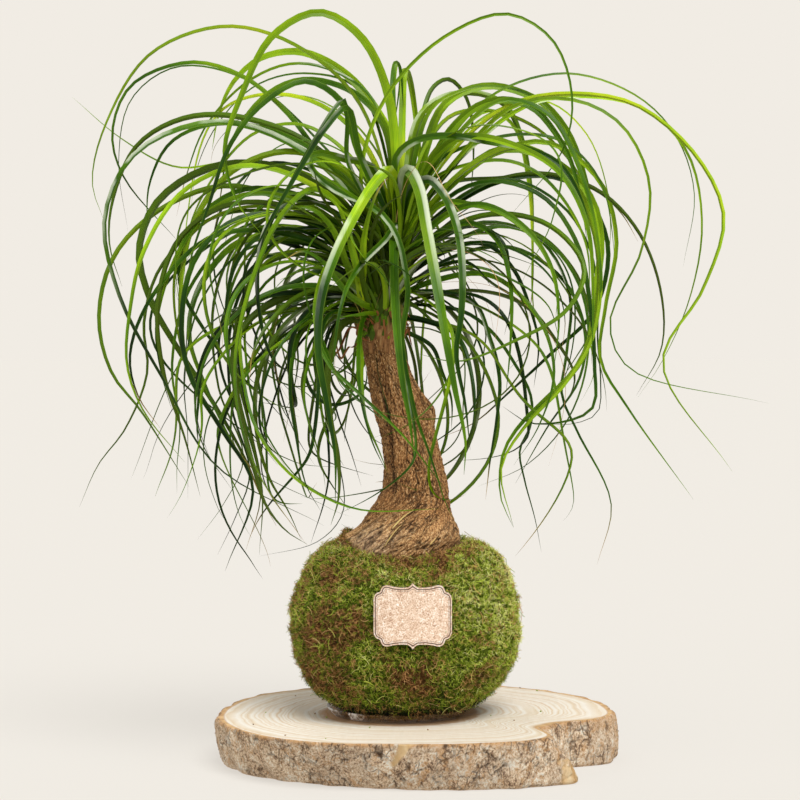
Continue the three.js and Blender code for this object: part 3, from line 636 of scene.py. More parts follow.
def leafMaterial():
    material, tree, shader = newMaterial("leafGreen", 0.42, 0.14)
    along, tint, across = layer(tree, "along"), layer(tree, "leafTint"), layer(tree, "across")
    # old leaves are dark green, young ones yellow-green, and each is brighter towards its foot
    shade = timesPlus(tree, sums(tree, "SUBTRACT", 0.4, along), 0.3, tint)
    shade = timesPlus(tree, placeTexture(tree, 20, 3), 0.9, sums(tree, "SUBTRACT", shade, 0.45))
    # painted shade: leaves low in the middle of the head are darkened, the bright young ones less
    depth = times(tree, layer(tree, "inner"), sums(tree, "SUBTRACT", 1.0, tint))
    shade = timesPlus(tree, depth, -0.6, shade)
    green = ramp(tree, shade, [(0.0, "#0c2400"), (0.2, "#264c02"), (0.45, "#5c8808"), (0.7, "#99ba12"),
                               (1.0, "#d6e438")])
    foot = ramp(tree, along, [(0.0, "#ffffff"), (0.02, "#c0c0c0"), (0.1, "#000000")])
    green = mix(tree, times(tree, foot, times(tree, tint, 0.8)), green, "#bcd052")
    # fine lengthwise lines, painted shade on the half of the blade past the fold, and on some leaves a painted sheen on
    # the other half
    lines = made(tree, "ShaderNodeTexNoise", {"W": timesPlus(tree, across, 3.0, times(tree, tint, 60.0)),
                                              "Scale": 3.0, "Detail": 2.0}, noise_dimensions="1D")
    green = mix(tree, 0.75, green, ramp(tree, lines, [(0.3, "#42500c"), (0.5, "#808c48"), (0.7, "#bcc684")]),
                "OVERLAY")
    sheen = layer(tree, "sheen")  # less than 0 where the other half is the pale one
    hand = timesPlus(tree, sums(tree, "LESS_THAN", sheen, 0.0), -2.0, 1.0)
    half = timesPlus(tree, times(tree, across, hand), 0.5, 0.5)
    # painted shade: the half of the blade past the fold is darkened
    green = mix(tree, rise(tree, half, 0.46, 0.54, "#a0a0a0"), green, "#1f4500")
    # painted sheen: a pale, near-white streak on one half of some leaves, broken into patches
    patches = rise(tree, placeTexture(tree, 30, 2, shift=(5, 5, 5)), 0.42, 0.55)
    pale = sums(tree, "ADD", sums(tree, "ABSOLUTE", sheen), sums(tree, "SUBTRACT", patches, 1.0))
    pale = rise(tree, pale, 0.0, 1.0)
    pale = times(tree, pale, ramp(tree, half, [(0.1, "#e8e8e8"), (0.4, "#c0c0c0"), (0.5, "#000000")]))
    pale = times(tree, pale, ramp(tree, along, [(0.08, "#000000"), (0.16, "#ffffff"), (0.45, "#ffffff"),
                                                (0.65, "#000000")]))
    green = mix(tree, pale, green, "#e2e8d2")
    # the under face is a greyer green, and some tips have dried
    under = rise(tree, layer(tree, "upperFace"), 0.65, 0.35)
    green = mix(tree, times(tree, under, 0.25), green, "#7c9426")
    dried = times(tree, rise(tree, along, 0.88, 0.98), layer(tree, "dryTip"))
    green = mix(tree, dried, green, "#a98a4d")
    feed(tree, shader, green)
    feed(tree, shader, ramp(tree, lines, [(0.3, "#b8b8b8"), (0.7, "#979797")]), "Roughness")
    bump(tree, shader, lines, 0.2, 0.12)
    return material


def sideways(line):  # 1 for a leaf that goes left or right, 0 for one that comes forward or goes back
    way = line[len(line) // 2] - line[0]
    return abs(way[0]) / max(1e-6, math.hypot(way[0], way[1]))


def withFoot(midrib, below, out):
    # the leaf's foot runs up along the stem, wrapped round it, before the leaf leaves it
    start = np.array(midrib[0], float)
    way = np.array(midrib[1], float) - start
    way = way[:2] / max(1e-6, math.hypot(way[0], way[1]))
    low = (stemX(start[2] - below) + way[0] * out * 0.6, way[1] * out * 0.6, start[2] - below)
    return [low, (start[0] + way[0] * out, start[1] + way[1] * out, start[2])] + [tuple(p) for p in midrib[1:]]


def addLeaf(leaves, midrib, width, roll, tint, dryTip, open=1.0, wander=0.0):
    line = smoothLine(midrib, leafStyle["steps"])
    if wander:  # slow bends that grow towards the tip
        start = Vector([pick(-50, 50) for _ in range(3)])
        for s in range(1, len(line)):
            t = s / (len(line) - 1)
            line[s] += np.array(noise.noise_vector(start + Vector((2.4 * t, 0, 0)))) * wander * t ** 1.3
    line[:, 1] *= min(1.0, leafStyle["halfDepth"] / np.max(np.abs(line[:, 1])))  # stays within the depth of the head
    hand = 1 if line[-1][0] > line[0][0] else -1
    turn = leafStyle["openRoll"] * open * sideways(line) * hand * (1 if chance.random() < 0.8 else -1)
    pale = 0.7 * ((len(leaves) * 0.618) % 1 < leafStyle["sheen"])
    leaves.append((line, bladeFrames(line, 0.8 * roll, turn * pick(0.5, 1.2)), width, tint, dryTip, pale))


def clearOfFront(heading):
    # turns most of the leaves that would come straight forward off to one side
    front = math.atan2(math.cos(heading), -math.sin(heading))
    if abs(front) < 0.8:
        heading += math.copysign(pick(0.8, 1.2), front)
    return heading


def roomyRight(heading):
    # the right side of the head is the more open one, so most free leaves that would go there are left out
    return math.cos(heading) > 0.3 and chance.random() < 0.82


def keptIn(midrib):
    # shrinks a leaf about its foot until it stays inside the head
    line = np.array(midrib, float)
    way = line - line[0]
    over = np.max(np.hypot(way[:, 0] / np.where(way[:, 0] < 0, 165, 128), way[:, 1] / 122))
    drop = np.max(-way[:, 2]) / (line[0][2] - 150)
    return line[0] + way / max(1.0, over, drop)


def greenOf(line, spread=0.4):
    # high arches are young and bright, low hanging leaves old and dark
    return 0.22 + 0.38 * ease((np.max(line, axis=0)[2] - 290) / 150) + pick(-spread, spread)


broadLeaves = []
for n, leaf in enumerate(placedLeaves):
    own, (width, depth, height, *flat) = (leaf[0], leaf[1:]) if isinstance(leaf[0], tuple) else (None, leaf)
    midrib = placedMidrib(depth, height, list(zip(flat[::2], flat[1::2])))
    line = smoothLine(withFoot(midrib, 18, 3.5), leafStyle["steps"])
    tilt, twist, under = pick(0.15, 0.9), pick(-0.9, 0.9), chance.random() < 0.3
    sides = facingFrames(line, tilt * 0.25, twist * 0.4, False) if own else facingFrames(line, tilt, twist, under)
    # leaves that hang in front of the stem are given painted light: their green is raised
    tint = greenOf(midrib, 0.34) if depth >= -44 else greenOf(midrib, 0.18) + 0.24
    tint, pale, *below = own or (tint, 0.7 * ((n * 0.618) % 1 < leafStyle["sheen"]))
    if below:
        tint = tint + (below[0] - tint) * smooth((np.linspace(0, 1, len(line)) - 0.42) / 0.2)
    broadLeaves.append((line, sides, leafStyle["placedWidth"] * width, tint, chance.random() < 0.15, pale))
for i in range(leafStyle["skirt"]):
    age = (i + 0.5) / leafStyle["skirt"]
    heading = clearOfFront(i * goldenTurn + pick(-0.3, 0.3))
    if roomyRight(heading):
        continue
    z = 276 + 74 * age ** 0.9
    foot = stemFoot(heading, z)
    midrib = keptIn(archedMidrib(foot, heading, 14 + 52 * age + pick(-34, 34), pick(100, 270),
                                 (170 + 130 * age) * pick(0.6, 1.2), pick(-1.9, 1.9)))
    addLeaf(broadLeaves, withFoot(midrib, 8, 5), pick(2.4, 4.3), pick(-0.9, 0.9), greenOf(midrib),
            chance.random() < 0.2, 0.8, 48)

# long thin ones that hang low all round and curl up at their tips
for i in range(leafStyle["hanging"]):
    heading = clearOfFront(math.pi + i * goldenTurn * 0.5 + pick(-0.6, 0.6))
    z = pick(276, 306)
    foot = stemFoot(heading, z)
    midrib = keptIn(archedMidrib(foot, heading, pick(-20, 30), pick(90, 190), pick(170, 250), pick(-1.2, 1.2)))
    addLeaf(broadLeaves, withFoot(midrib, 8, 5), pick(2.0, 3.7), pick(-0.9, 0.9), greenOf(midrib) + 0.1,
            chance.random() < 0.3, 0.8, 50)

# young leaves that fan up out of the two growing points, and thin ones that fill the head
fineLeaves = []
for footX, footZ, count in ((-34, 288, leafStyle["leftFan"]), (-10, 304, leafStyle["rightFan"])):
    for i in range(count):
        heading = clearOfFront(i * goldenTurn + pick(-0.3, 0.3))
        if roomyRight(heading):
            continue
        t = (i + 0.5) / count
        foot = (footX + 5 * math.cos(heading), 5 * math.sin(heading), footZ + 26 * t + pick(-4, 4))
        midrib = keptIn(archedMidrib(foot, heading, 46 + 30 * t + pick(-8, 8), pick(130, 210), pick(170, 280),
                                     pick(-0.9, 0.9)))
        addLeaf(fineLeaves, midrib, pick(2.8, 4.6), pick(-0.9, 0.9), greenOf(midrib) + 0.1, chance.random() < 0.15,
                0.8, 18)
for i in range(leafStyle["bases"]):
    heading = -math.pi / 2 + pick(-1.5, 1.5)
    t = chance.random()
    z = 272 + 40 * t
    foot = stemFoot(heading, z, 7)
    midrib = archedMidrib(foot, heading, pick(62, 86), pick(50, 120), pick(80, 140),
                          chance.choice((-1, 1)) * pick(0.8, 1.6))
    addLeaf(fineLeaves, withFoot(midrib, 10, 5), pick(2.4, 4.2), pick(-0.6, 0.6),
            chance.choice((0.02, 0.15, 0.3, 0.5, 0.75)), False, 0.4, 8)
for i in range(leafStyle["fillers"]):
    heading = clearOfFront(i * goldenTurn + pick(-0.5, 0.5))
    if roomyRight(heading):
        continue
    t = chance.random()
    z = 276 + 70 * t
    foot = stemFoot(heading, z)
    midrib = keptIn(archedMidrib(foot, heading, 10 + 55 * t + pick(-36, 36), pick(100, 290), pick(120, 270),
                                 pick(-1.8, 1.8)))
    addLeaf(fineLeaves, midrib, pick(1.3, 2.6), pick(-1.2, 1.2), greenOf(midrib), chance.random() < 0.3, 0.6, 40)


def heartRing(x, z, radius, a):
    # overlapping leaf bases make the growing point's sides stepped and ribbed
    rib = 0.9 * math.sin(7 * a + 0.35 * z) + 0.5 * math.sin(13 * a - 0.5 * z)
    return (x + (radius + rib) * math.cos(a), (radius + rib) * math.sin(a), z)


def heart(name, rows, material):
    # rows: [(height, centre x, radius)]
    turns = np.linspace(0, 2 * math.pi, 72, endpoint=False)
    fine = np.linspace(0, len(rows) - 1, 60)
    shape = np.stack([np.interp(fine, np.arange(len(rows)), np.array(rows, float)[:, k]) for k in range(3)], axis=1)
    corners = [heartRing(x, z, r, a) for z, x, r in shape for a in turns]
    faces = gridFaces(len(shape), len(turns))
    corners += [(shape[0][1], 0, shape[0][0]), (shape[-1][1], 0, shape[-1][0] + 1)]
    closeEnds(faces, len(shape), len(turns), len(corners) - 2, len(corners) - 1)
    return addPiece(name, corners, faces, material)


sheath, tree, shader = newMaterial("driedSheath", 0.7, 0.2)
grain = placeTexture(tree, 500, 4, (1, 1, 0.12))
husk = ramp(tree, grain, [(0.3, "#5e3d22"), (0.5, "#94683e"), (0.7, "#c09663")])
# the green part above the dry husk is painted dark: partly its own colour, partly painted shade among the leaf bases
fresh = ramp(tree, grain, [(0.35, "#1c2906"), (0.5, "#40520f"), (0.65, "#6f8426")])
height = axis(tree, ownPlace(tree), 2)
level = sums(tree, "ADD", times(tree, height, 10.0), times(tree, placeTexture(tree, 90, 3), 0.35))
feed(tree, shader, mix(tree, rise(tree, sums(tree, "SUBTRACT", level, 2.5), 0.46, 0.62), husk, fresh))
bump(tree, shader, grain, 0.6, 0.6)
for name, rows in (
    ("rightHeart", [(262, -22.4, 11.6), (268, -23, 12.5), (276, -21, 13), (290, -18, 11), (304, -15, 7),
                    (316, -13, 3.5), (324, -12.5, 1.2)]),
    ("leftHeart", [(268, -26, 8), (276, -30, 8.5), (290, -34, 7), (306, -36, 4.5), (318, -37.5, 1.6)]),
):
    piece = heart(name, rows, sheath)
    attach(piece, "root")
    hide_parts("leaf_crown")

# dried leaf bases curl round the top of the trunk, and a few straw-thin dead leaves hang in the head
dryLeaves = []
for i in range(leafStyle["curls"]):
    heading = i * goldenTurn + pick(-0.4, 0.4)
    z = pick(268, 292)
    reach = pick(9, 24)
    points = [(-23 + 10 * math.cos(heading), 10 * math.sin(heading), z)]
    for k in range(1, 6):
        turn = heading + pick(-0.35, 0.35)
        points.append((-23 + (10 + reach * k / 5) * math.cos(turn), (10 + reach * k / 5) * math.sin(turn),
                       z + pick(-9, 9) + 2.0 * k * (1 - k / 3.5)))
    addLeaf(dryLeaves, points, pick(1.0, 2.6), pick(-2, 2), pick(0.2, 0.5), 0)
for i in range(leafStyle["straws"]):
    heading = i * goldenTurn
    z = pick(280, 330)
    midrib = archedMidrib((stemX(z), 0, z), heading, pick(10, 60), pick(110, 170), pick(120, 220), pick(-0.8, 0.8))
    addLeaf(dryLeaves, midrib, pick(0.4, 0.7), 1, pick(0.6, 1), 0, 0, 20)
straw, tree, shader = newMaterial("driedLeaf", 0.65, 0.25)
dead = ramp(tree, layer(tree, "leafTint"), [(0.2, "#9a5f33"), (0.5, "#b9854d"), (1.0, "#d8c583")])
dead = mix(tree, 0.5, dead, ramp(tree, placeTexture(tree, 300, 3), [(0.3, "#6b6058"), (0.7, "#b0a698")]), "OVERLAY")
feed(tree, shader, dead)
leafGreen = leafMaterial()
sweep = leafTree()
leafShape = {"Channel depth": leafStyle["channel"], "Blade thickness": leafStyle["thickness"]}
for name, leaves, finish in (("leafBlades", broadLeaves, leafGreen), ("fineLeafBlades", fineLeaves, leafGreen),
                             ("dryLeafBlades", dryLeaves, straw)):
    blades = grow(name, leafHost(name, leaves), sweep, {**leafShape, "Leaf material": finish})
    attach(blades, "root")
    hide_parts("leaf_crown")
print("leaves done")


sliceStyle = {
    "around": 760, "upSteps": 26, "topSteps": 46,
    "barkDepth": 1.5,     # how deep the bark's cracks go, in millimetres
    "notchDepth": 27.0, "notchTop": -33.0, "notchUnder": -22.0,
    "gashTop": (-12.0, -3.0), "gashFoot": (-18.0, -14.0), "gashLow": 15.0, "gashDepth": 1.4,
}
sliceRows = np.array([  # degrees, radius underneath, radius on top
    (-180, 126, 128), (-167, 124, 129.5), (-150, 119, 130), (-133, 109, 129.5), (-118, 104, 126), (-103, 102, 119),
    (-90, 104, 117), (-73, 108, 119), (-57, 117, 123), (-38, 128, 122), (-16, 128, 123), (0, 128, 127),
    (26, 129, 131), (63, 129, 131), (90, 130, 132), (124, 127, 129), (144, 128, 132), (166, 126, 128),
    (180, 126, 128),
], float)


def wrapped(angle):
    return np.arctan2(np.sin(angle), np.cos(angle))


def sliceEdge(angle, up, fine=1.0):
    # the slice's radius at an angle and a share of its height, as in the solid; also how near the notch is
    degrees = np.degrees(wrapped(angle))
    under, top = (np.interp(degrees, sliceRows[:, 0], sliceRows[:, k]) for k in (1, 2))
    away = wrapped(angle - np.radians(sliceStyle["notchUnder"]
                                      + (sliceStyle["notchTop"] - sliceStyle["notchUnder"]) * up))
    flank = np.where(away < 0, 0.2, 0.2 + 0.14 * up)
    near = np.exp(-((np.abs(away) / flank) ** 3))
    furrows = 0.9 * np.sin(23 * angle + 1.2 * up) + 0.6 * np.sin(41 * angle - 0.8 * up)
    radius = under + (top - under) * up + 1.8 * math.sin(math.pi * up) + fine * furrows
    return radius - sliceStyle["notchDepth"] * near, near


def barkRelief(x, y, z):
    # plates between crooked cracks that lean to one side; returns (push outwards in mm, crack 0 to 1)
    place = Vector((x, y, z * 0.8 + 0.35 * x)) * 0.085
    bend = noise.noise_vector(place * 1.7) * 0.5
    cell = noise.voronoi(place * 1.35 + bend)[0]
    broken = ease(noise.noise(place * 1.1 + Vector((9, 3, 1))) * 2.2 + 0.55)
    crack = max(0.0, 1 - (cell[1] - cell[0]) / 0.07) * broken
    rough = noise.fractal(Vector((x, y, z)) * 0.55, 0.6, 2.2, 5)
    swell = noise.noise(Vector((x, y, z)) * 0.05)
    return 0.5 * rough + 0.7 * swell - 0.8 * crack, crack


angles = np.linspace(-math.pi, math.pi, sliceStyle["around"], endpoint=False)
corners, ringShare, barkRing, crackShare, bareWood = [], [], [], [], []
for k in range(sliceStyle["upSteps"] + 1):
    up = k / sliceStyle["upSteps"]
    edge, near = sliceEdge(angles, up)
    worn = 1.5 * max(0.0, 1 - up / 0.05) + 0.9 * max(0.0, 1 - (1 - up) / 0.04)
    fade = ease(up / 0.06) * ease((1 - up) / 0.05)
    for a, r in zip(angles, edge - worn):
        x, y, z = r * math.cos(a), r * math.sin(a), sizes["sliceThick"] * up
        push, crack = barkRelief(x, y, z)
        # a slanted strip of bark is gone from the front, down from the top edge
        fall = (sizes["sliceThick"] - z) / (sizes["sliceThick"] - sliceStyle["gashLow"])
        left = sliceStyle["gashTop"][0] + (sliceStyle["gashFoot"][0] - sliceStyle["gashTop"][0]) * fall
        right = sliceStyle["gashTop"][1] + (sliceStyle["gashFoot"][1] - sliceStyle["gashTop"][1]) * fall
        wave = 1.2 * noise.noise(Vector((x * 0.3, 0, z * 0.3)))
        gone = 0.0
        if y < 0 and fall < 1:
            gone = float(smooth((x - left + wave) / 1.5) * smooth((right - x + wave) / 1.5))
        push = push * (1 - gone) * sliceStyle["barkDepth"] - sliceStyle["gashDepth"] * gone
        r += push * (0.35 + 0.65 * fade)
        # the tip of the front lobe is broken wood
        tip = float(smooth((x - 85 + 3 * wave) / 4) * smooth((16 - z + 4 * wave) / 4)) if y < -55 else 0.0
        corners.append((r * math.cos(a), r * math.sin(a), z))
        ringShare.append(1.0)
        barkRing.append(0.0)
        crackShare.append(crack * (1 - gone))
        bareWood.append(max(gone, 0.8 * tip))
sideRows = sliceStyle["upSteps"] + 1
rim = np.array(corners[-len(angles):])
rimRadius = np.hypot(rim[:, 0], rim[:, 1])
# the bark's own ring on the sawn face is wider round the back and the notch than along the front
evenRadius, nearNotch = sliceEdge(angles, 1.0, 0.0)
ringWidth = 2.0 + 1.6 * smooth((np.abs(wrapped(angles + math.pi / 2)) - 0.5) / 0.8) + 2.6 * nearNotch
for k in range(1, sliceStyle["topSteps"]):
    for a, r, even, wide in zip(angles, rimRadius, evenRadius, ringWidth):
        radius = r - 0.9 * k if k < 9 else (r - 7.2) * (1 - (k - 8) / (sliceStyle["topSteps"] - 8))
        x, y = radius * math.cos(a), radius * math.sin(a)
        saw = 0.12 * noise.noise(Vector((x * 0.05, y * 0.6, 2))) + 0.08 * noise.noise(Vector((x * 0.4, y * 0.4, 7)))
        corners.append((x, y, sizes["sliceThick"] - 0.12 + saw))
        wobble = 0.5 * noise.noise(Vector((x * 0.12, y * 0.12, 4)))
        ringShare.append(radius / even)
        barkRing.append(max(0.08, (even - 0.6 - radius + wobble) / wide))
        crackShare.append(0.0)
        bareWood.append(0.0)
faces = gridFaces(sideRows + sliceStyle["topSteps"] - 1, len(angles))
topStart = len(corners) - len(angles)
corners += [(0, 0, sizes["sliceThick"] - 0.1), (0, 0, 0)]
ringShare += [0, 0]
barkRing += [50, 50]
crackShare += [0, 0]
bareWood += [0, 0]
for c in range(len(angles)):
    d = (c + 1) % len(angles)
    faces.append((topStart + c, topStart + d, len(corners) - 2))
    faces.append((d, c, len(corners) - 1))


def sliceMaterial():
    material, tree, shader = newMaterial("sawnSlice", 0.75, 0.25)
    share, ring, crack, bare = (layer(tree, name) for name in ("ringShare", "barkRing", "crack", "bareWood"))
    ring = times(tree, ring, 0.25)  # so that a ramp reaches four ring widths in
    # growth rings: bands of one-way noise along the share of the radius, bent a little from place to place
    bent = timesPlus(tree, placeTexture(tree, 16, 3), 0.14, share)
    uneven = made(tree, "ShaderNodeTexNoise", {"W": bent, "Scale": 5.0, "Detail": 1.0}, noise_dimensions="1D")
    count = timesPlus(tree, bent, 11.0, times(tree, uneven, 3.0))
    bands = sums(tree, "FRACT", count)
    second = sums(tree, "FRACT", times(tree, count, 2.7))
    fibre = placeTexture(tree, 260, 3, (1, 0.2, 1))
    wood = ramp(tree, bands, [(0.0, "#e7d9c4"), (0.08, "#ece6de"), (0.45, "#e9e2d8"), (0.82, "#e4d9c9"),
                              (0.92, "#cdb193"), (0.97, "#dac4aa")])
    soft = ramp(tree, second, [(0.0, "#e5dccd"), (0.5, "#eeeae2"), (0.9, "#dccbb2")])
    wood = mix(tree, ramp(tree, placeTexture(tree, 22, 2, shift=(7, 0, 0)), [(0.35, "#303030"), (0.65, "#c0c0c0")]),
               soft, wood)
    wood = mix(tree, 0.35, wood, ramp(tree, fibre, [(0.3, "#8d8378"), (0.7, "#b8afa4")]), "OVERLAY")
    warm = rise(tree, placeTexture(tree, 16, 3, (1, 2.5, 1)), 0.4, 0.75)
    wood = mix(tree, times(tree, warm, 0.1), wood, "#d9bb9a")
    # it is browner under the dish
    place = ownPlace(tree)
    away = wire(tree, "ShaderNodeVectorMath", {0: place, 1: (sizes["saucerX"] * mm, 0, sizes["sliceThick"] * mm)},
                operation="DISTANCE").outputs["Value"]
    away = timesPlus(tree, placeTexture(tree, 120, 3), 0.006, away)
    wood = mix(tree, times(tree, rise(tree, times(tree, away, 10.0), 0.565, 0.53), 0.75), wood, "#bb8a55")
    # the sawn bark ring round it: a dark line, tan inner bark, then the rough outer edge
    tan = ramp(tree, placeTexture(tree, 180, 4), [(0.3, "#b98f60"), (0.7, "#dcb987")])
    wood = mix(tree, rise(tree, ring, 0.29, 0.25, "#c0c0c0"), wood, "#b07c48")
    sawn = mix(tree, rise(tree, ring, 0.24, 0.2), wood, tan)
    # outer bark: grey-brown plates whose palest tones are partly painted highlights, tan flakes, and dark cracks whose
    # darkness is partly painted shade
    mixed = timesPlus(tree, placeTexture(tree, 130, 4, (1, 1, 0.75), roughness=0.65), 0.4,
                      times(tree, placeTexture(tree, 850, 3, (1, 1, 0.8), roughness=0.7), 0.6))
    grey = ramp(tree, mixed, [(0.39, "#755a44"), (0.44, "#bf9f80"), (0.49, "#e2c4a1"), (0.54, "#f6dfc1"),
                              (0.61, "#fffaec")])
    grey = mix(tree, rise(tree, placeTexture(tree, 38, 3, (1, 1, 0.8), (1, 8, 2)), 0.5, 0.58, "#808080"), grey,
               "#a8937f")
    flake = rise(tree, placeTexture(tree, 170, 5, (1, 1, 0.7), (3, 1, 2), 0.7, 0.6), 0.55, 0.59, "#e0e0e0")
    height = times(tree, axis(tree, place, 2), 1000 / sizes["sliceThick"])
    lip = ramp(tree, height, [(0.0, "#c0c0c0"), (0.09, "#000000"), (0.9, "#000000"), (0.97, "#ffffff")])
    lip = times(tree, lip, rise(tree, placeTexture(tree, 140, 3), 0.38, 0.5))
    across = axis(tree, place, 0)
    lobe = times(tree, rise(tree, times(tree, across, 5.0), 0.5, 0.56, "#c0c0c0"),
                 rise(tree, placeTexture(tree, 60, 4, shift=(2, 2, 2)), 0.45, 0.56))
    grey = mix(tree, times(tree, sums(tree, "MAXIMUM", sums(tree, "MAXIMUM", flake, lip), lobe), 0.7), grey,
               "#cf9a5e")
    leaning = made(tree, "ShaderNodeMapping", {"Vector": place, "Scale": (1, 1, 0.4), "Rotation": (0, 0.3, 0)})
    split = times(tree, splitLines(tree, leaning, 150.0, 0.06, 0.01),
                  rise(tree, placeTexture(tree, 45, 3), 0.45, 0.55))
    grey = mix(tree, times(tree, split, 0.7), grey, "#523c2c")
    grey = mix(tree, times(tree, crack, 0.85), grey, "#3c2b1f")
    grey = mix(tree, bare, grey, ramp(tree, placeTexture(tree, 150, 3, (1, 1, 0.25)),
                                      [(0.35, "#d9ab6c"), (0.65, "#fbe2b4")]))
    onTop = rise(tree, ring, 0.01, 0.06)
    feed(tree, shader, mix(tree, onTop, grey, sawn))
    grit = timesPlus(tree, split, -0.25, placeTexture(tree, 480, 8, (1, 1, 0.55), roughness=0.85))
    relief = mix(tree, onTop, grit, fibre)
    bump(tree, shader, relief, made(tree, "ShaderNodeMapRange", {"Value": onTop, "To Min": 1.0, "To Max": 0.25}), 1.9)
    return material


slicePiece = addPiece("sawnSlice", corners, faces, sliceMaterial(),
                      {"ringShare": ringShare, "barkRing": barkRing, "crack": crackShare, "bareWood": bareWood})
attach(slicePiece, "root")
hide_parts("wood_slice")


def crumbs(name, places, colours, size, dice):
    # uneven pebbles of moss or bark that have fallen on the sawn face
    points, tiles, rows, sides = [], [], 5, 7
    for x, y in places:
        start, wide = len(points), size * dice.uniform(0.6, 1.3)
        for k in range(rows):
            up = -math.pi / 2 + math.pi * (k + 0.5) / rows
            for c in range(sides):
                a = 2 * math.pi * c / sides
                far = wide * dice.uniform(0.75, 1.25)
                out, height = far * math.cos(up), 0.5 * wide + 0.7 * far * math.sin(up)
                points.append((x + out * math.cos(a), y + out * math.sin(a), sizes["sliceThick"] + height))
        tiles += [tuple(start + v for v in tile) for tile in gridFaces(rows, sides)]
        tiles.append(tuple(start + c for c in reversed(range(sides))))
        tiles.append(tuple(start + (rows - 1) * sides + c for c in range(sides)))
    material, tree, shader = newMaterial(name, 0.9, 0.1)
    feed(tree, shader, ramp(tree, placeTexture(tree, 900, 3), colours))
    piece = addPiece(name, points, tiles, material)
    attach(piece, "root")
    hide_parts("moss_cover")


crumbs("brownCrumbs", [(-82, 70), (-63, 53), (72, 106), (-103, -46), (-81, -86), (-66, -4), (6, -66), (61, -31)],
       [(0.35, "#6b4e36"), (0.65, "#b08f6a")], 0.65, random.Random(3))
crumbs("greenCrumbs", [(-98, 0), (-58, -20), (-56, -97), (83, 93), (40, 24), (80, 4), (47, -12), (-30, -58)],
       [(0.35, "#7d9640"), (0.65, "#b4c468")], 0.55, random.Random(4))
print("slice done", len(faces))


saucerProfile = [(0, 0), (42, 0), (43.6, 0.4), (46, 2.75), (46.8, 4.6), (47, 5.2), (46.7, 5.5), (46.1, 5.5),
                 (45.6, 5.2), (44.4, 3.3), (42.6, 1.9), (41, 1.5), (0, 1.5)]


def turned(name, profile, centreX, base, sides, material):
    # a lathe round a vertical axis; the profile runs from the axis under the piece back to the axis on top
    rows = profile[1:-1]
    turns = np.linspace(0, 2 * math.pi, sides, endpoint=False)
    points = [(centreX + r * math.cos(a), r * math.sin(a), base + z) for r, z in rows for a in turns]
    tiles = gridFaces(len(rows), sides)
    closeEnds(tiles, len(rows), sides, len(points), len(points) + 1)
    points += [(centreX, 0, base + profile[0][1]), (centreX, 0, base + profile[-1][1])]
    return addPiece(name, points, tiles, material)


clear, tree, shader = newMaterial("clearPlastic", 0.05, 0.6, IOR=1.45)
film = placeTexture(tree, 60, 4)
# painted glints: the thin sheet is crumpled, and painted white along its creases on its left side
place = ownPlace(tree)
creaseGlint = times(tree, splitLines(tree, place, 260.0, 0.3, 0.01), rise(tree, placeTexture(tree, 55, 2), 0.4, 0.48))
left = ramp(tree, times(tree, axis(tree, place, 0), -10.0), [(0.3, "#101010"), (0.42, "#ffffff")])
creaseGlint = times(tree, creaseGlint, left)
feed(tree, shader, mix(tree, creaseGlint, ramp(tree, film, [(0.35, "#b08450"), (0.75, "#cdb08a")]), "#ffffff"))
feed(tree, shader, timesPlus(tree, creaseGlint, 0.75, 0.14), "Alpha")
feed(tree, shader, ramp(tree, film, [(0.4, "#0a0a0a"), (0.8, "#404040")]), "Roughness")
saucer = turned("clearSaucer", saucerProfile, sizes["saucerX"], sizes["sliceThick"], 160, clear)
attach(saucer, "root")
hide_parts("saucer")


mossStyle = {
    "around": 260, "baseDrop": 1.6,    # the felt under the sprigs lies a little inside the ball's surface
    "sprigs": 0.4,       # sprigs for each square millimetre
    "sprigLength": 3.8, "needles": 5, "needleWidth": 0.4, "lean": 1.3, "seed": 11,
    "threads": 0.05, "threadBend": 6.0, "threadRadius": 0.16,
    "floor": 128.0,      # the height at which the open mouth is closed, under the soil
}


def mossLumps(angle, z):
    low = np.sin(3 * angle + 0.06 * z) * np.cos(2 * angle - 0.05 * z)
    fine = np.sin(9 * angle + 0.21 * z) * np.sin(7 * angle - 0.17 * z)
    return smooth((z - 35.6) / 12) * (1.1 * low + 0.7 * fine)


def frontDip(x, y):
    # the top of the ball is lower in front of the trunk
    angle = math.atan2(y, x - sizes["ballX"])
    return 7.5 * math.exp(-(float(wrapped(angle + 1.66)) / 0.82) ** 2)


brownSpots = [  # x, z, half width, half height, how bare; all on the front
    (-47, 87, 17, 12, 0.55), (-65, 68, 13, 16, 0.5), (-60, 120, 9, 9, 0.4), (-34, 124, 9, 7, 0.4),
    (-3, 62, 15, 14, 0.6), (-19, 77, 9, 9, 0.5), (44, 84, 7, 8, 0.3), (52, 60, 12, 8, 0.35),
    (6, 132, 34, 5, 0.6), (-70, 96, 8, 10, 0.35), (20, 42, 30, 6, 0.3),
]


def brownness(x, y, z):
    # how bare and brown the moss is
    patch = noise.fractal(Vector((x, y, z)) * 0.05 + Vector((4, 1, 7)), 0.8, 2.0, 4)
    spots = 0.15
    if y < 20:
        spots = sum(bare * math.exp(-((x - a) / wide) ** 2 - ((z - b) / tall) ** 2)
                    for a, b, wide, tall, bare in brownSpots)
    mouth = ease((59 - math.hypot(x - sizes["ballX"], y)) / 9) * (z > 120) * math.exp(-((x - 8) / 34) ** 2) * (y < 0)
    side = 0.16 * float(smooth((-12 - x) / 40) + smooth((80 - z) / 40) * smooth((30 - x) / 40))
    low = 1 - 0.6 * ease((54 - z) / 12)
    return min(0.72, max(0.0, 0.12 + 0.5 * patch + 0.8 * spots + side + 0.75 * mouth)) * low


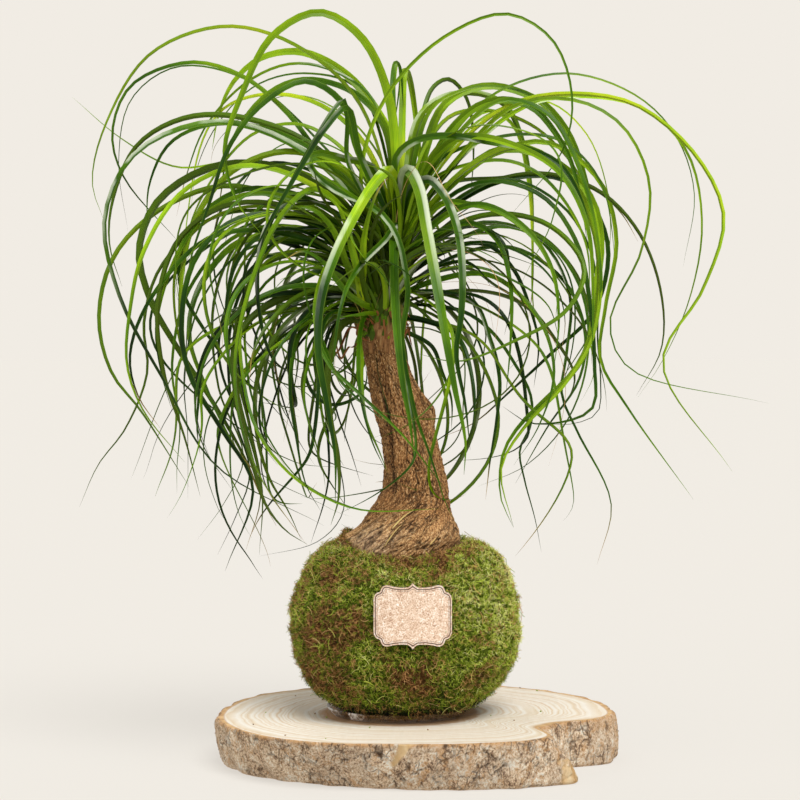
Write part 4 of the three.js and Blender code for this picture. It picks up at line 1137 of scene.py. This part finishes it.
rowPlaces = np.linspace(0, len(ballRows) - 1, 120)
profile = np.stack([np.interp(rowPlaces, np.arange(len(ballRows)), ballRows[:, k]) for k in (0, 1)], axis=1)
profile = np.vstack([profile[profile[:, 1] > 0], [(141.2, 41.5), (139.5, 43.5), (136, 44.6), (131, 45)]])
keep = [(z, r) for z, r in profile if r >= 43 or z < 90]
turns = np.linspace(0, 2 * math.pi, mossStyle["around"], endpoint=False)
corners, brown, lushLightShade = [], [], []
for z, r in keep:
    for a in turns:
        radius = r + float(mossLumps(a, z))
        x, y = sizes["ballX"] + radius * math.cos(a), radius * math.sin(a)
        felt = noise.fractal(Vector((x, y, z)) * 0.16, 0.7, 2.1, 4)
        radius += 2.1 * felt - mossStyle["baseDrop"] * ease((z - 33) / 8)
        dip = frontDip(x, y) * ease((z - 116) / 20)
        corners.append((sizes["ballX"] + radius * math.cos(a), radius * math.sin(a), z - dip + 0.5 * felt * (z > 36)))
        brown.append(brownness(x, y, z))
        # painted light and shade: the moss is brighter up on the right and on top, and darker low down and at the
        # bottom, partly its own colour there
        paintedLight = 0.28 * ease((x + 10) / 60) * ease((z - 50) / 60) + 0.16 * ease((z - 112) / 14)
        lushLightShade.append(0.42 + 0.5 * noise.noise(Vector((x, y, z)) * 0.07) + paintedLight - 0.25 * ease((85 - z) / 40)
                    - 1.1 * ease((48 - z) / 14))
faces = gridFaces(len(keep), len(turns))
closeEnds(faces, len(keep), len(turns), len(corners), len(corners) + 1)
# the mouth closes under the soil
corners += [(sizes["ballX"], 0, keep[0][0]), (sizes["ballX"], 0, mossStyle["floor"])]
brown += [0.5, 1]
lushLightShade += [0.5, 0]

mossFelt, tree, shader = newMaterial("mossFelt", 0.95, 0.1)
green = ramp(tree, placeTexture(tree, 330, 5, roughness=0.7), [(0.3, "#1c2206"), (0.5, "#414f0f"), (0.7, "#6c781c")])
bare = ramp(tree, placeTexture(tree, 280, 5, roughness=0.7), [(0.3, "#24160a"), (0.5, "#4d3419"), (0.7, "#7d5a30")])
feed(tree, shader, mix(tree, rise(tree, layer(tree, "brown"), 0.35, 0.65), green, bare))
bump(tree, shader, placeTexture(tree, 700, 4), 0.8, 0.8)
mossLayers = {"brown": brown, "lushLightShade": lushLightShade}
felt = addPiece("mossFelt", corners, faces, mossFelt, mossLayers)
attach(felt, "root")
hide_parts("moss_cover")


def strew(tree, host, shape, perSquare, seed, turnSpan, sizeSpan, seeds):
    # sets a shape on points over the host's faces, each one leaning, turned, sized and tinted by chance
    density = times(tree, perSquare, 1e6)
    strewn = wire(tree, "GeometryNodeDistributePointsOnFaces",
                  {"Mesh": host, "Density": density, "Seed": seed}).outputs
    turn = made(tree, "FunctionNodeRandomValue", {0: turnSpan[0], 1: turnSpan[1], "Seed": seed},
                data_type="FLOAT_VECTOR")
    turn = made(tree, "FunctionNodeEulerToRotation", {0: turn})
    way = made(tree, "FunctionNodeRotateRotation", {0: strewn["Rotation"], 1: turn}, rotation_space="LOCAL")
    size, tint = (wire(tree, "FunctionNodeRandomValue", {2: low, 3: high, "Seed": own}, data_type="FLOAT").outputs[1]
                  for (low, high), own in zip((sizeSpan, (0.0, 1.0)), seeds))
    points = keepOn(tree, strewn["Points"], "sprigTint", tint)
    return made(tree, "GeometryNodeInstanceOnPoints",
                {"Points": points, "Instance": shape, "Rotation": way, "Scale": size})


def sprigTree():
    # needles set round a short stalk, and the whole sprig strewn over the host's faces
    tree, given, out = newTree("strewSprigs", {
        "Sprigs per mm2": ("Float", 0.3), "Sprig length": ("Float", 3.5), "Needles": ("Int", 6),
        "Needle width": ("Float", 0.4), "Lean": ("Float", 1.1), "Seed": ("Int", 1),
        "Moss material": ("Material", None)})
    metre = times(tree, given["Sprig length"], mm)
    width = times(tree, given["Needle width"], 0.5 * mm)
    needle = wire(tree, "GeometryNodeMeshCone", {"Vertices": 3, "Side Segments": 1, "Radius Top": 0.0,
                                                 "Radius Bottom": width,
                                                "Depth": times(tree, metre, 0.7)}).outputs["Mesh"]
    step = made(tree, "ShaderNodeCombineXYZ", {2: sums(tree, "DIVIDE", times(tree, metre, 0.6), given["Needles"])})
    stalk = made(tree, "GeometryNodeMeshLine", {"Count": given["Needles"], "Offset": step})
    index = made(tree, "GeometryNodeInputIndex")
    stalk = keepOn(tree, stalk, "needleShade", sums(tree, "FRACT", times(tree, index, 0.618)))
    swing = made(tree, "ShaderNodeCombineXYZ", {0: 0.75, 1: 0.0, 2: times(tree, index, goldenTurn)})
    sprig = made(tree, "GeometryNodeInstanceOnPoints", {"Points": stalk, "Instance": needle, "Rotation": swing})
    sprig = made(tree, "GeometryNodeRealizeInstances", {"Geometry": sprig})
    height = axis(tree, made(tree, "GeometryNodeInputPosition"), 2)
    sprig = keepOn(tree, sprig, "towardsTip", sums(tree, "DIVIDE", height, metre))
    lean, seed = given["Lean"], given["Seed"]
    least = made(tree, "ShaderNodeCombineXYZ", {0: times(tree, lean, -1.0), 1: times(tree, lean, -1.0), 2: 0.0})
    most = made(tree, "ShaderNodeCombineXYZ", {0: lean, 1: lean, 2: 6.283})
    seeds = (sums(tree, "ADD", seed, 5.0), sums(tree, "ADD", seed, 9.0))
    grown = strew(tree, given[0], sprig, given["Sprigs per mm2"], seed, (least, most), (0.55, 1.25), seeds)
    finishTree(tree, grown, given["Moss material"], out)
    return tree


def sprigMaterial():
    material, tree, shader = newMaterial("mossSprigs", 0.75, 0.25)
    tip, tint, lushLightShade = layer(tree, "towardsTip"), layer(tree, "sprigTint"), layer(tree, "lushLightShade")
    needle = layer(tree, "needleShade")
    fresh = timesPlus(tree, lushLightShade, 0.5, timesPlus(tree, timesPlus(tree, needle, 1.0, tint), 0.52, -0.16))
    # the brightest sprigs run to near white: partly the moss's pale tips, partly painted highlights
    green = ramp(tree, fresh, [(0.0, "#0d1303"), (0.16, "#2c3c08"), (0.36, "#708b16"), (0.55, "#abc132"),
                               (0.74, "#dce564"), (0.94, "#fffcb0")])
    # painted shade: each sprig is darkened towards its foot, down in the mat
    green = mix(tree, rise(tree, tip, 0.58, 0.0), green, "#1a1803")
    dry = ramp(tree, timesPlus(tree, needle, 0.5, times(tree, tint, 0.5)),
               [(0.1, "#2c190b"), (0.5, "#7a4f29"), (0.9, "#dba768")])
    bare = timesPlus(tree, sums(tree, "SUBTRACT", tint, 0.5), 1.0, layer(tree, "brown"))
    bare = timesPlus(tree, sums(tree, "SUBTRACT", needle, 0.5), 0.35, bare)
    feed(tree, shader, mix(tree, rise(tree, bare, 0.42, 0.62), green, dry))
    return material


sprigs = sprigTree()
mossSprigs = sprigMaterial()
mossFaces = [f for f in faces if len(f) == 4]
ringCount = len(turns)
for part in range(3):  # one piece for each third of the way round, so that none has too many triangles
    lowTurn, highTurn = part * ringCount // 3, (part + 1) * ringCount // 3
    own = [f for f in mossFaces if lowTurn <= f[0] % ringCount < highTurn and corners[f[0]][2] > 31.8]
    piece = grow("mossSprigs%d" % (part + 1), addPiece("mossHost", corners, own, layers=mossLayers), sprigs, {
        "Sprigs per mm2": mossStyle["sprigs"], "Sprig length": mossStyle["sprigLength"], "Lean": mossStyle["lean"],
        "Needles": mossStyle["needles"], "Needle width": mossStyle["needleWidth"],
        "Seed": mossStyle["seed"] + part, "Moss material": mossSprigs})
    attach(piece, "root")
    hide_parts("moss_cover")


def threadTree():
    # thin bent strands strewn over the host's faces, lying nearly flat
    tree, given, out = newTree("strewThreads", {"Threads per mm2": ("Float", 0.01), "Seed": ("Int", 1),
                                                "Thread material": ("Material", None)})
    arc = wire(tree, "GeometryNodeCurveArc", {"Resolution": 6, "Radius": mossStyle["threadBend"] * mm,
                                              "Sweep Angle": 1.1}).outputs["Curve"]
    ring = made(tree, "GeometryNodeCurvePrimitiveCircle", {"Resolution": 3, "Radius": mossStyle["threadRadius"] * mm})
    strand = made(tree, "GeometryNodeCurveToMesh", {"Curve": arc, "Profile Curve": ring})
    shift = (-mossStyle["threadBend"] * mm, 0, 1.6 * mm)
    strand = made(tree, "GeometryNodeTransform", {"Geometry": strand, "Translation": shift})
    spans = ((-0.45, -0.45, 0.0), (0.45, 0.45, 6.283))
    grown = strew(tree, given[0], strand, given["Threads per mm2"], given["Seed"], spans, (0.4, 1.3), (21, 22))
    finishTree(tree, grown, given["Thread material"], out)
    return tree


threadPaint, tree, shader = newMaterial("mossThreads", 0.7, 0.3)
strand = layer(tree, "sprigTint")
fresh = ramp(tree, strand, [(0.1, "#7d9a1c"), (0.5, "#c0cf4a"), (0.62, "#f0eb9a"), (0.72, "#8a5a2c"), (0.9, "#dba868")])
dry = ramp(tree, strand, [(0.1, "#5a3a1d"), (0.5, "#a8743c"), (0.8, "#e6bd80"), (0.9, "#b4c648")])
feed(tree, shader, mix(tree, ramp(tree, layer(tree, "brown"), [(0.2, "#202020"), (0.6, "#ffffff")]), fresh, dry))
own = [f for f in mossFaces if corners[f[0]][2] > 36]
threads = grow("mossThreads", addPiece("mossHost", corners, own, layers=mossLayers), threadTree(), {
    "Threads per mm2": mossStyle["threads"], "Seed": mossStyle["seed"], "Thread material": threadPaint})
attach(threads, "root")
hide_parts("moss_cover")
print("moss done")


trunkStyle = {"around": 340, "rows": 288, "relief": 1.0, "gap": 0.18}


def trunkAxis(z):
    return [np.interp(z, trunkRows[:, 0], trunkRows[:, k]) for k in (1, 2, 3)]


def grainPlace(angle, z):
    # a place for textures that follow the grain: up the stem, and slantwise over the flared foot
    a = angle + 0.03 * max(0.0, 172 - z) * ease((172 - z) / 15)
    return Vector((math.cos(a) * 24, math.sin(a) * 24, 0.4 * z))


def trunkBark(angle, z):
    # corky plates between short cracks; returns (push outwards, how dark)
    place = grainPlace(angle, z)
    bend = noise.noise_vector(place * 0.16) * 1.4 + noise.noise_vector(place * 0.6) * 0.5
    cells = noise.voronoi((place + bend) * 0.36)[0]
    broken = ease(0.65 + 1.8 * noise.noise(place * 0.2 + Vector((3, 8, 1))))
    crack = max(0.0, 1 - (cells[1] - cells[0]) / trunkStyle["gap"]) * broken
    grit = noise.fractal(place * 0.8, 0.7, 2.1, 5)
    pit = ease((-grit - 0.3) / 0.5)
    ridge = noise.noise(Vector((place.x * 0.17, place.y * 0.17, place.z * 0.06)))
    # one deep furrow runs down the left of the front
    way = -2.28 + 0.1 * math.sin(z * 0.09) + 0.05 * noise.noise(Vector((0, 0, z * 0.3)))
    within = float(smooth((z - 168) / 10) * smooth((246 - z) / 20))
    deep = math.exp(-(float(wrapped(angle - way)) / 0.06) ** 2) * within
    push = 0.8 * ridge + 0.6 * grit - 0.9 * crack - 0.5 * pit - 1.3 * deep
    return push, min(1.0, 0.9 * crack + 0.6 * pit + 0.8 * deep)


turns = np.linspace(0, 2 * math.pi, trunkStyle["around"], endpoint=False)
heights = np.linspace(114, 273, trunkStyle["rows"])
corners, furrow, paleFoot, grain = [], [], [], []
for z in heights:
    cx, cy, radius = trunkAxis(z)
    for a in turns:
        twist = a - 0.012 * (z - sizes["soilLine"])
        shown = ease((z - 126) / 6)
        grown = 0.022 * radius * math.sin(8 * twist) + 0.4 * math.sin(13 * twist + 1)
        for degrees, height, outBy, wide, tall in trunkKnots:
            away = float(wrapped(a - math.radians(degrees)))
            grown += outBy * math.exp(-((away / wide) ** 2) - ((z - height) / tall) ** 2)
        # a broken stub with a hollow beside it, low on the left
        stub = math.exp(-(wrapped(a + 2.72) / 0.11) ** 2 - ((z - 147) / 2.6) ** 2)
        hollow = math.exp(-(wrapped(a + 2.5) / 0.07) ** 2 - ((z - 146) / 2.2) ** 2)
        relief, dark = trunkBark(a, z)
        # a small slot low on the front, painted dark as shade
        slot = math.exp(-(wrapped(a + 1.05) / 0.055) ** 4 - ((z - 174) / 3.0) ** 4)
        grown -= 5 * math.exp(-(wrapped(a - math.pi) / 0.8) ** 2 - ((z - 151) / 8) ** 2)
        r = radius + shown * (grown + trunkStyle["relief"] * relief - 2.2 * slot + 3.6 * stub - 1.6 * hollow)
        corners.append((cx + r * math.cos(a), cy + r * math.sin(a), z))
        furrow.append(min(1.0, dark + slot + hollow))
        paleFoot.append((0.45 + 0.55 * ease((0.25 - math.cos(a)) / 1.1)) * ease((165 - z) / 20))
        grain.append(grainPlace(a, z) * mm)
faces = gridFaces(len(heights), len(turns))
closeEnds(faces, len(heights), len(turns), len(corners), len(corners) + 1)
corners += [(trunkAxis(114)[0], 0, 114), (trunkAxis(270)[0], 0, 274)]
furrow += [0, 0]
paleFoot += [0, 0]
grain += [grain[0], grain[-1]]

barkPaint, tree, shader = newMaterial("trunkBark", 0.8, 0.25)
along = wire(tree, "ShaderNodeAttribute", attribute_name="grain").outputs["Vector"]


def grainNoise(scale, detail, roughness=0.6):
    return made(tree, "ShaderNodeTexNoise", {"Vector": along, "Scale": scale, "Detail": detail,
                                             "Roughness": roughness})


grit = placeTexture(tree, 1000, 3, (1, 1, 0.6), roughness=0.7)
mixed = timesPlus(tree, grainNoise(70, 2), 0.22, times(tree, grit, 0.78))
bark = ramp(tree, mixed, [(0.38, "#573720"), (0.45, "#8c5e35"), (0.5, "#a97947"), (0.55, "#c2915b"),
                          (0.64, "#e4bd8a")])
foot = ramp(tree, mixed, [(0.38, "#8f643f"), (0.45, "#c09361"), (0.5, "#d8ab72"), (0.55, "#e8c089"),
                          (0.64, "#fde3b8")])
worn = times(tree, rise(tree, grainNoise(60, 3), 0.5, 0.62, "#c0c0c0"), layer(tree, "paleFoot"))
foot = mix(tree, worn, foot, "#b39a86")
bark = mix(tree, layer(tree, "paleFoot"), bark, foot)
fine = times(tree, splitLines(tree, along, 560.0, 0.12), rise(tree, grainNoise(90, 3, 0.7), 0.45, 0.55, "#b0b0b0"))
bark = mix(tree, fine, bark, "#4c2f18")
split = times(tree, splitLines(tree, along, 230.0, 0.05, 0.01), rise(tree, grainNoise(50, 3), 0.47, 0.53))
bark = mix(tree, times(tree, split, 0.8), bark, "#2f1c0d")
# painted shade: cracks, pits, the deep furrow, the slot and the hollow are darkened nearly to black, partly the bark's
# own dark colour
bark = mix(tree, times(tree, layer(tree, "furrow"), 0.92), bark, "#211308")
feed(tree, shader, bark)
ridges = timesPlus(tree, grainNoise(260, 2), 0.8, times(tree, grit, 0.6))
bump(tree, shader, sums(tree, "SUBTRACT", ridges, times(tree, split, 0.35)), 0.9, 1.2)
trunk = addPiece("barkTrunk", corners, faces, barkPaint, {"furrow": furrow, "paleFoot": paleFoot})
addLayer(trunk.data, "grain", grain, "FLOAT_VECTOR")
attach(trunk, "root")
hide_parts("trunk")

# straw-thin leaf tips lie slantwise over the front of the foot
footStraws = []
for (x0, z0), (x1, z1) in (((-21, 141), (-9, 155)), ((-4, 145), (12, 157)), ((8, 142), (23, 156)),
                           ((-16, 152), (-2, 163))):
    points = []
    for t in np.linspace(0, 1, 6):
        x, z = x0 + (x1 - x0) * t, z0 + (z1 - z0) * t + 1.5 * math.sin(3 * t)
        cx, cy, radius = trunkAxis(z)
        points.append((x, cy - math.sqrt(max(1.0, (radius + 1.6) ** 2 - (x - cx) ** 2)), z))
    addLeaf(footStraws, points, 0.9, 0, 1.0, 0)
straws = grow("footStraws", leafHost("footStraws", footStraws), sweep, {**leafShape, "Leaf material": straw})
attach(straws, "root")
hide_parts("leaf_crown")
print("trunk done", len(faces))


cardStyle = {"halfWidth": 24.4, "halfHeight": 18.8, "thick": 1.6, "bend": 80.0, "x": -3.4, "z": 101.7,
             "columns": 150, "rows": 110}
cardEdge = np.array([(0, 1.09), (.047, 1.0), (.13, .93), (.31, .925), (.485, .95), (.6, .99), (.68, 1.0), (.75, .97),
                     (.795, .9), (.825, .79), (.86, .765), (.91, .75), (.955, .7), (.985, .63), (1, .54)])


def cardHalf(x):
    return np.interp(abs(x), cardEdge[:, 0], cardEdge[:, 1]) * cardStyle["halfHeight"]


def cardPlace(x, z, depth):
    turn = x * cardStyle["halfWidth"] / cardStyle["bend"]
    front = -(sizes["ballRadius"] + 2.6 + cardStyle["thick"])
    return (cardStyle["x"] + math.sin(turn) * (cardStyle["bend"] - depth),
            front + cardStyle["bend"] - math.cos(turn) * (cardStyle["bend"] - depth), cardStyle["z"] + z)


outline = np.array([(x * cardStyle["halfWidth"], s * cardHalf(x)) for s in (1, -1) for x in np.linspace(-1, 1, 240)]
                   + [(s * cardStyle["halfWidth"], z) for s in (1, -1) for z in np.linspace(-10, 10, 40)])
corners, edgeGap = [], []
columns = np.sin(np.linspace(-math.pi / 2, math.pi / 2, cardStyle["columns"]))
for depth in (0, cardStyle["thick"]):
    for x in columns:
        for t in np.linspace(-1, 1, cardStyle["rows"]):
            z = t * cardHalf(x)
            corners.append(cardPlace(x, z, depth))
            gaps = np.hypot(outline[:, 0] - x * cardStyle["halfWidth"], outline[:, 1] - z)
            edgeGap.append(float(gaps.min()) if depth == 0 else 0.0)
rows, columnCount = cardStyle["rows"], cardStyle["columns"]
back = rows * columnCount
faces = []
for c in range(columnCount - 1):
    for r in range(rows - 1):
        a = c * rows + r
        faces.append((a, a + rows, a + rows + 1, a + 1))
        faces.append((back + a, back + a + 1, back + a + rows + 1, back + a + rows))
    for a, b in ((c * rows, (c + 1) * rows), ((c + 2) * rows - 1, (c + 1) * rows - 1)):
        faces.append((a, a + back, b + back, b))
for r in range(rows - 1):
    faces.append((r, r + 1, r + 1 + back, r + back))
    a = (columnCount - 1) * rows + r
    faces.append((a + 1, a, a + back, a + 1 + back))

cardPaint, tree, shader = newMaterial("speckledCard", 0.7, 0.3)
gapAt = layer(tree, "edgeGap")
speck = timesPlus(tree, placeTexture(tree, 1300, 2), 0.7, times(tree, placeTexture(tree, 260, 3), 0.3))
stock = ramp(tree, speck, [(0.36, "#a5826c"), (0.44, "#d0ae93"), (0.5, "#dfc3a9"), (0.57, "#ecd9c6"),
                           (0.64, "#f8f2ec")])
far = sums(tree, "DIVIDE", gapAt, 5.0)
band = ramp(tree, far, [(0.0, "#a0a0a0"), (0.07, "#303030"), (0.15, "#303030"), (0.19, "#ffffff"), (0.27, "#ffffff"),
                        (0.31, "#202020"), (0.4, "#202020"), (0.43, "#b0b0b0"), (0.48, "#b0b0b0"), (0.52, "#000000")])
feed(tree, shader, mix(tree, band, stock, "#4d3833"))
bump(tree, shader, placeTexture(tree, 800, 3), 0.2, 0.2)
card = addPiece("speckledCard", corners, faces, cardPaint, {"edgeGap": edgeGap}, smoothShade=False)
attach(card, "root")
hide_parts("card")


soilStyle = {
    "around": 180, "rows": 22, "outer": 44.6, "inner": 24.0, "top": 138.2, "under": 129.5,
    "clod": (-45, -8, 9.5),  # x, y and height of the clod beside the trunk
    "sprigs": 0.9, "sprigLength": 3.0, "seed": 31,
}
corners, faces = [], []
turns = np.linspace(0, 2 * math.pi, soilStyle["around"], endpoint=False)
clodX, clodY, clodHeight = soilStyle["clod"]
for k, r in enumerate(np.linspace(soilStyle["outer"], soilStyle["inner"], soilStyle["rows"])):
    for a in turns:
        x, y = sizes["ballX"] + r * math.cos(a), r * math.sin(a)
        lump = noise.fractal(Vector((x, y, 3)) * 0.3, 0.6, 2.2, 4)
        clod = clodHeight * math.exp(-((x - clodX) / 6.5) ** 2 - ((y - clodY) / 9) ** 2) * (1 + 0.25 * lump)
        corners.append((x, y, soilStyle["top"] + 1.6 * lump + 0.8 * min(1, k / 4) - 0.75 * frontDip(x, y) + clod))
faces = gridFaces(soilStyle["rows"], len(turns))
bottom = len(corners)
for r in (soilStyle["outer"], soilStyle["inner"]):
    corners += [(sizes["ballX"] + r * math.cos(a), r * math.sin(a), soilStyle["under"]) for a in turns]
for c in range(len(turns)):
    d = (c + 1) % len(turns)
    top = (soilStyle["rows"] - 1) * len(turns)
    faces.append((bottom + c, bottom + d, d, c))
    faces.append((top + c, top + d, bottom + len(turns) + d, bottom + len(turns) + c))
    faces.append((bottom + len(turns) + c, bottom + len(turns) + d, bottom + d, bottom + c))
soilPaint, tree, shader = newMaterial("dampSoil", 0.9, 0.2)
feed(tree, shader, ramp(tree, placeTexture(tree, 420, 5, roughness=0.7),
                        [(0.35, "#2a1c10"), (0.5, "#6d5034"), (0.62, "#a98357")]))
bump(tree, shader, placeTexture(tree, 900, 3), 0.7, 0.8)
clodLayers = {"brown": [0.62] * len(corners), "lushLightShade": [0.3] * len(corners)}
clodFaces = [f for f in faces if corners[f[0]][2] > 141.5 and corners[f[0]][0] < -36 and corners[f[0]][1] < 8]
piece = grow("mossSprigsByFoot", addPiece("clodHost", corners, clodFaces, layers=clodLayers), sprigs, {
    "Sprigs per mm2": soilStyle["sprigs"], "Sprig length": soilStyle["sprigLength"], "Lean": mossStyle["lean"],
    "Needles": mossStyle["needles"], "Needle width": mossStyle["needleWidth"],
    "Seed": soilStyle["seed"], "Moss material": mossSprigs})
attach(piece, "root")
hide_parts("moss_cover")
soil = addPiece("dampSoil", corners, faces, soilPaint)
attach(soil, "root")
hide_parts("soil_ball")
print("card and soil done")
